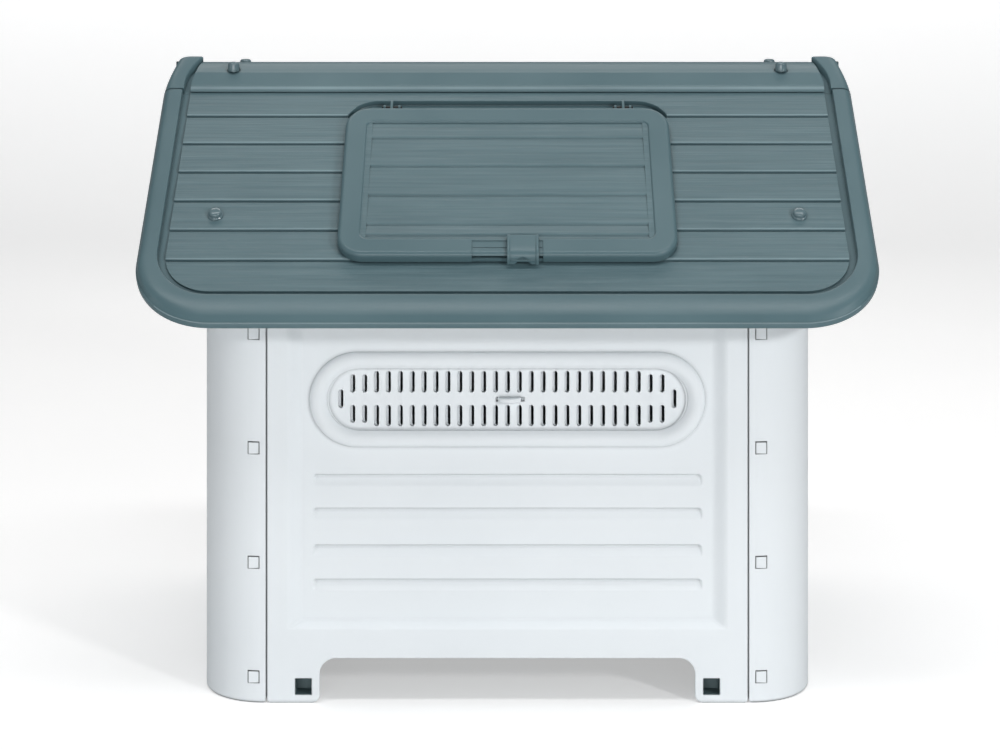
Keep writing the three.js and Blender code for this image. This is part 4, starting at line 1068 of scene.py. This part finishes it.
def wire_gate():
    """A wire gate: a bow and two posts, three rails, nine bars and two guides for its latch bolt."""
    post = [(GATE_HALF, GATE_BOTTOM + 0.6), (GATE_HALF, RAIL_Z)]
    bow = post + arc(0, DOOR_SPRING, GATE_HALF, 0, 180, 64) + [(-y, z) for y, z in reversed(post)]
    body = sweep([(GATE_X, -y, z) for y, z in bow], 3.0, 18)
    for z in (GATE_BOTTOM + 2, RAIL_Z, DOOR_SPRING):
        body = union(body, sweep([(GATE_X, -GATE_HALF, z), (GATE_X, GATE_HALF, z)], 2.5, 16))
    for column in range(-4, 5):
        y = column * BAR_PITCH
        top = DOOR_SPRING + math.sqrt(GATE_HALF**2 - y**2)
        body = union(body, sweep([(GATE_X, y, GATE_BOTTOM + 2), (GATE_X, y, top)], 2.0, 16))
    for column in (3, 4):
        y = column * BAR_PITCH
        guide = rounded_box(GATE_X - 1, LATCH_X + 6, LATCH_Z - 7, LATCH_Z + 7, 3)
        # The guide's outline lies in X and Z, and its thickness runs along Y.
        stand = Matrix(((1, 0, 0, 0), (0, 0, -1, y), (0, 1, 0, 0), (0, 0, 0, 1)))
        body = union(body, moved(slab(guide, -4, 4, 0.6, 0.6, 3), stand))
    return cut(body, rod_y(LATCH_X, LATCH_Z, 76, 135, 3.3))


def rod_y(x, z, y0, y1, radius):
    return sweep([(x, y0, z), (x, y1, z)], radius, 24)


def gate_latch():
    tips = [(0, 76), (2.2, 76), (3, 76.8), (3, 145.2), (2.2, 146), (0, 146)]
    rod = moved(turned(tips, 24), shift(LATCH_X, 0, LATCH_Z) @ Matrix.Rotation(-math.pi / 2, 4, "X"))
    knob = rounded_box(LATCH_X - 2, LATCH_X + 14, 91.9, 95.4, 1.6)
    return union(rod, slab(knob, LATCH_Z - 2.5, LATCH_Z + 2.5, 0.8, 0.8))


def gate_bracket(z):
    """A block on the side of the doorway with an upright hole for the gate's hinge post."""
    outline = rounded_box(GATE_X - 6, GATE_X + 5.5, -DOOR_X + 0.3, -GATE_HALF + 5.5, 2.5, 6)
    body = slab(outline, z - 9, z + 9, 1.2, 1.2)
    return cut(body, round_bar(GATE_X, -GATE_HALF, 3.4, z - 20, z + 20, 36))


def gate_keeper():
    """A block on the gable beside the doorway, with a hole for the latch bolt."""
    outline = rounded_box(149, 162, LATCH_Z - 12, LATCH_Z + 12, 2.5, 6)
    body = moved(slab(outline, END_X + 0.3, LATCH_X + 7, 1.2), FACING_X)
    return cut(body, rod_y(LATCH_X, LATCH_Z, 140, 170, 3.5))


# ---------------- the pieces


BOLT_GAP = 0.3  # under the head of a bolt
ROOF_NUT, RIDGE_NUT, RIDGE_NUT_Z = 7.0, 6.0, 587.0

for side, matrix in (("left", Matrix.Identity(4)), ("right", HALF_TURN)):
    wall = moved(side_wall(), matrix)
    # The wall's second material, the dark floor plastic, is painted shade inside its peg holes.
    piece(side + "_wall_moulding", wall, "shell", side + "_side_wall", WALL, FLOOR)
    shutter = moved(vent_shutter(), matrix)
    piece(side + "_shutter_plate", shutter, side + "_shutter", side + "_vent_shutter", SHUTTER)
    panel = moved(roof_panel(side == "left"), matrix @ ON_SLOPE)
    piece(side + "_roof_moulding", panel, "shell", side + "_roof_panel", RIM, PLANK, LIP)
    for end, x in (("front", ROOF_BOLT_X), ("rear", -ROOF_BOLT_X)):
        name = side + "_" + end
        seat = matrix @ ON_SLOPE @ shift(x if side == "left" else -x, -ROOF_BOLT_T, 0)
        bolt = moved(plastic_bolt(8, 6.7, 6.5, 20), seat @ shift(0, 0, BOLT_GAP))
        piece(name + "_panel_bolt", bolt, "shell", name + "_roof_bolt", BOLT)
        nut = moved(sleeve_nut(ROOF_NUT), seat @ shift(0, 0, WALL_TOP_H - SHEET - BOLT_GAP - ROOF_NUT))
        piece(name + "_panel_nut", nut, "shell", name + "_roof_nut", BOLT)

piece("front_wall_moulding", gable_wall(True), "shell", "front_gable_wall", WALL)
rear = moved(gable_wall(False), MIRROR_X)
rear.data.flip_normals()
piece("rear_wall_moulding", rear, "shell", "rear_gable_wall", WALL)
piece("floor_tray", floor_panel(), "shell", "floor_panel", FLOOR)
piece("ridge_moulding", ridge_cap(), "shell", "ridge_cap", RIM, LIP)
for x, y in RIDGE_BOLTS:
    name = ("left" if y < 0 else "right") + "_" + ("front" if x > 0 else "rear")
    bolt = moved(plastic_bolt(6.4, 6.2, 10.5, 29), shift(x, y, RIDGE_SEAT_Z + BOLT_GAP))
    piece(name + "_cap_bolt", bolt, "shell", name + "_ridge_bolt", BOLT)
    nut = moved(sleeve_nut(RIDGE_NUT), shift(x, y, RIDGE_NUT_Z))
    piece(name + "_cap_nut", nut, "shell", name + "_ridge_nut", BOLT)

piece("hatch_moulding", moved(roof_hatch(), ON_SLOPE), "hatch", "roof_hatch", RIM, PLANK)
piece("hatch_slide", moved(hatch_latch(), ON_SLOPE), "hatch_latch", "hatch_latch", RIM)
for end, x in (("front", HINGE_X), ("rear", -HINGE_X)):
    tips = [(0, -11), (1.2, -11), (PIN_RADIUS, -10.6), (PIN_RADIUS, 10.6), (1.2, 11), (0, 11)]
    lying = shift(x, -HINGE_T, HINGE_H) @ Matrix.Rotation(math.pi / 2, 4, "Y")
    pin = moved(turned(tips, 20), ON_SLOPE @ lying)
    piece(end + "_hinge_wire", pin, "shell", end + "_hatch_hinge_pin", PIN_STEEL)

piece("gate_wirework", wire_gate(), "gate", "gate", STEEL)
piece("gate_slide_bolt", gate_latch(), "gate_latch", "gate_latch_bolt", STEEL)
for end, z in (("lower", 120), ("upper", 260)):
    piece(end + "_hinge_block", gate_bracket(z), "shell", end + "_gate_bracket", RIM)
piece("bolt_keeper", gate_keeper(), "shell", "gate_keeper", RIM)

# ---------------- stage, light and camera


PAPER_GLOW = 0.41  # on the floor
PAPER_RISE = 0.42  # and this much more for each metre up the backdrop


def stage_plane():
    """A floor that curves up into a backdrop, all one pale sweep."""
    front, back, top, bend, half_width = -3.0, 4.0, 4.0, 1.5, 6.0
    profile = [(front, 0.0), *arc(back - bend, bend, bend, -90, 0, 16), (back, top)]
    points = [(x, y, z) for x in (-half_width, half_width) for y, z in profile]
    count = len(profile)
    faces = [(i, i + 1, count + i + 1, count + i) for i in range(count - 1)]
    mesh = bpy.data.meshes.new("studio_sweep")
    mesh.from_pydata(points, [], faces)
    mesh.shade_smooth()
    obj = bpy.data.objects.new("studio_sweep", mesh)
    bpy.context.scene.collection.objects.link(obj)
    n = Nodes("studio_paper")
    # The paper is overexposed for the camera, as in a product photograph, but not for the object.
    height = n.add("SeparateXYZ", {"Vector": n.place}).outputs["Z"]
    glow = n.math("ADD", n.math("MULTIPLY", height, PAPER_RISE), PAPER_GLOW)
    seen = n.add("LightPath", {}).outputs["Is Camera Ray"]
    looks = {"Emission Color": (1, 1, 1, 1), "Emission Strength": n.math("MULTIPLY", seen, glow)}
    looks["Base Color"] = n.ramp(n.noise(2.0, 2.0), (0.3, grey(0.80)), (0.7, grey(0.82)))
    looks["Roughness"] = 0.9
    mesh.materials.append(n.finish(looks))


def area_light(name, place, target, size, power, color=(1, 1, 1)):
    light = bpy.data.lights.new(name, "AREA")
    light.shape = "RECTANGLE"
    light.size, light.size_y = size
    light.energy = power
    light.color = color
    obj = bpy.data.objects.new(name, light)
    obj.location = place
    obj.rotation_euler = (Vector(target) - Vector(place)).to_track_quat("-Z", "Y").to_euler()
    obj.visible_camera = False
    bpy.context.scene.collection.objects.link(obj)


stage_plane()
area_light("key", (2.70, -3.21, 1.66), (0, 0, 0.35), (0.4, 0.4), 56)
area_light("softbox_front", (-0.4, -4.0, 0.58), (0, 0, 0.35), (3.0, 0.9), 47)
area_light("fill_left", (-3.2, -1.6, 0.8), (0, 0, 0.35), (1.2, 1.0), 6)
area_light("overhead", (0, -0.95, 3.0), (0, -0.2, 0.5), (3.0, 0.50), 32)
area_light("softbox_back", (0, 1.35, 3.2), (0, 0, 0.5), (3.5, 1.0), 36, (1.0, 0.95, 0.92))

world = bpy.data.worlds.new("studio")
world.use_nodes = True
background = world.node_tree.nodes["Background"]
background.inputs["Color"].default_value = (0.90, 0.96, 1.0, 1)
background.inputs["Strength"].default_value = 0.18
bpy.context.scene.world = world
bpy.context.scene.view_settings.view_transform = "Standard"

SHIFT = {"shift_x": -0.0074, "shift_y": -0.5235}
lens = bpy.data.cameras.new("camera")
lens.lens, lens.sensor_width = 85.14, 36
camera = bpy.data.objects.new("camera", lens)
camera.location = (0, -2.620, 0.855)
camera.rotation_euler = (math.pi / 2, 0, 0)
bpy.context.scene.collection.objects.link(camera)
bpy.context.scene.camera = camera
# The lens is shifted as in a product photograph, but only while the camera keeps its own rotation
# mode: a view from elsewhere sets another one, and then looks straight at its target.
for channel, amount in SHIFT.items():
    driver = lens.driver_add(channel).driver
    variable = driver.variables.new()
    variable.name = "mode"
    variable.targets[0].id = camera
    variable.targets[0].data_path = "rotation_mode"
    driver.expression = f"{amount} * mode"
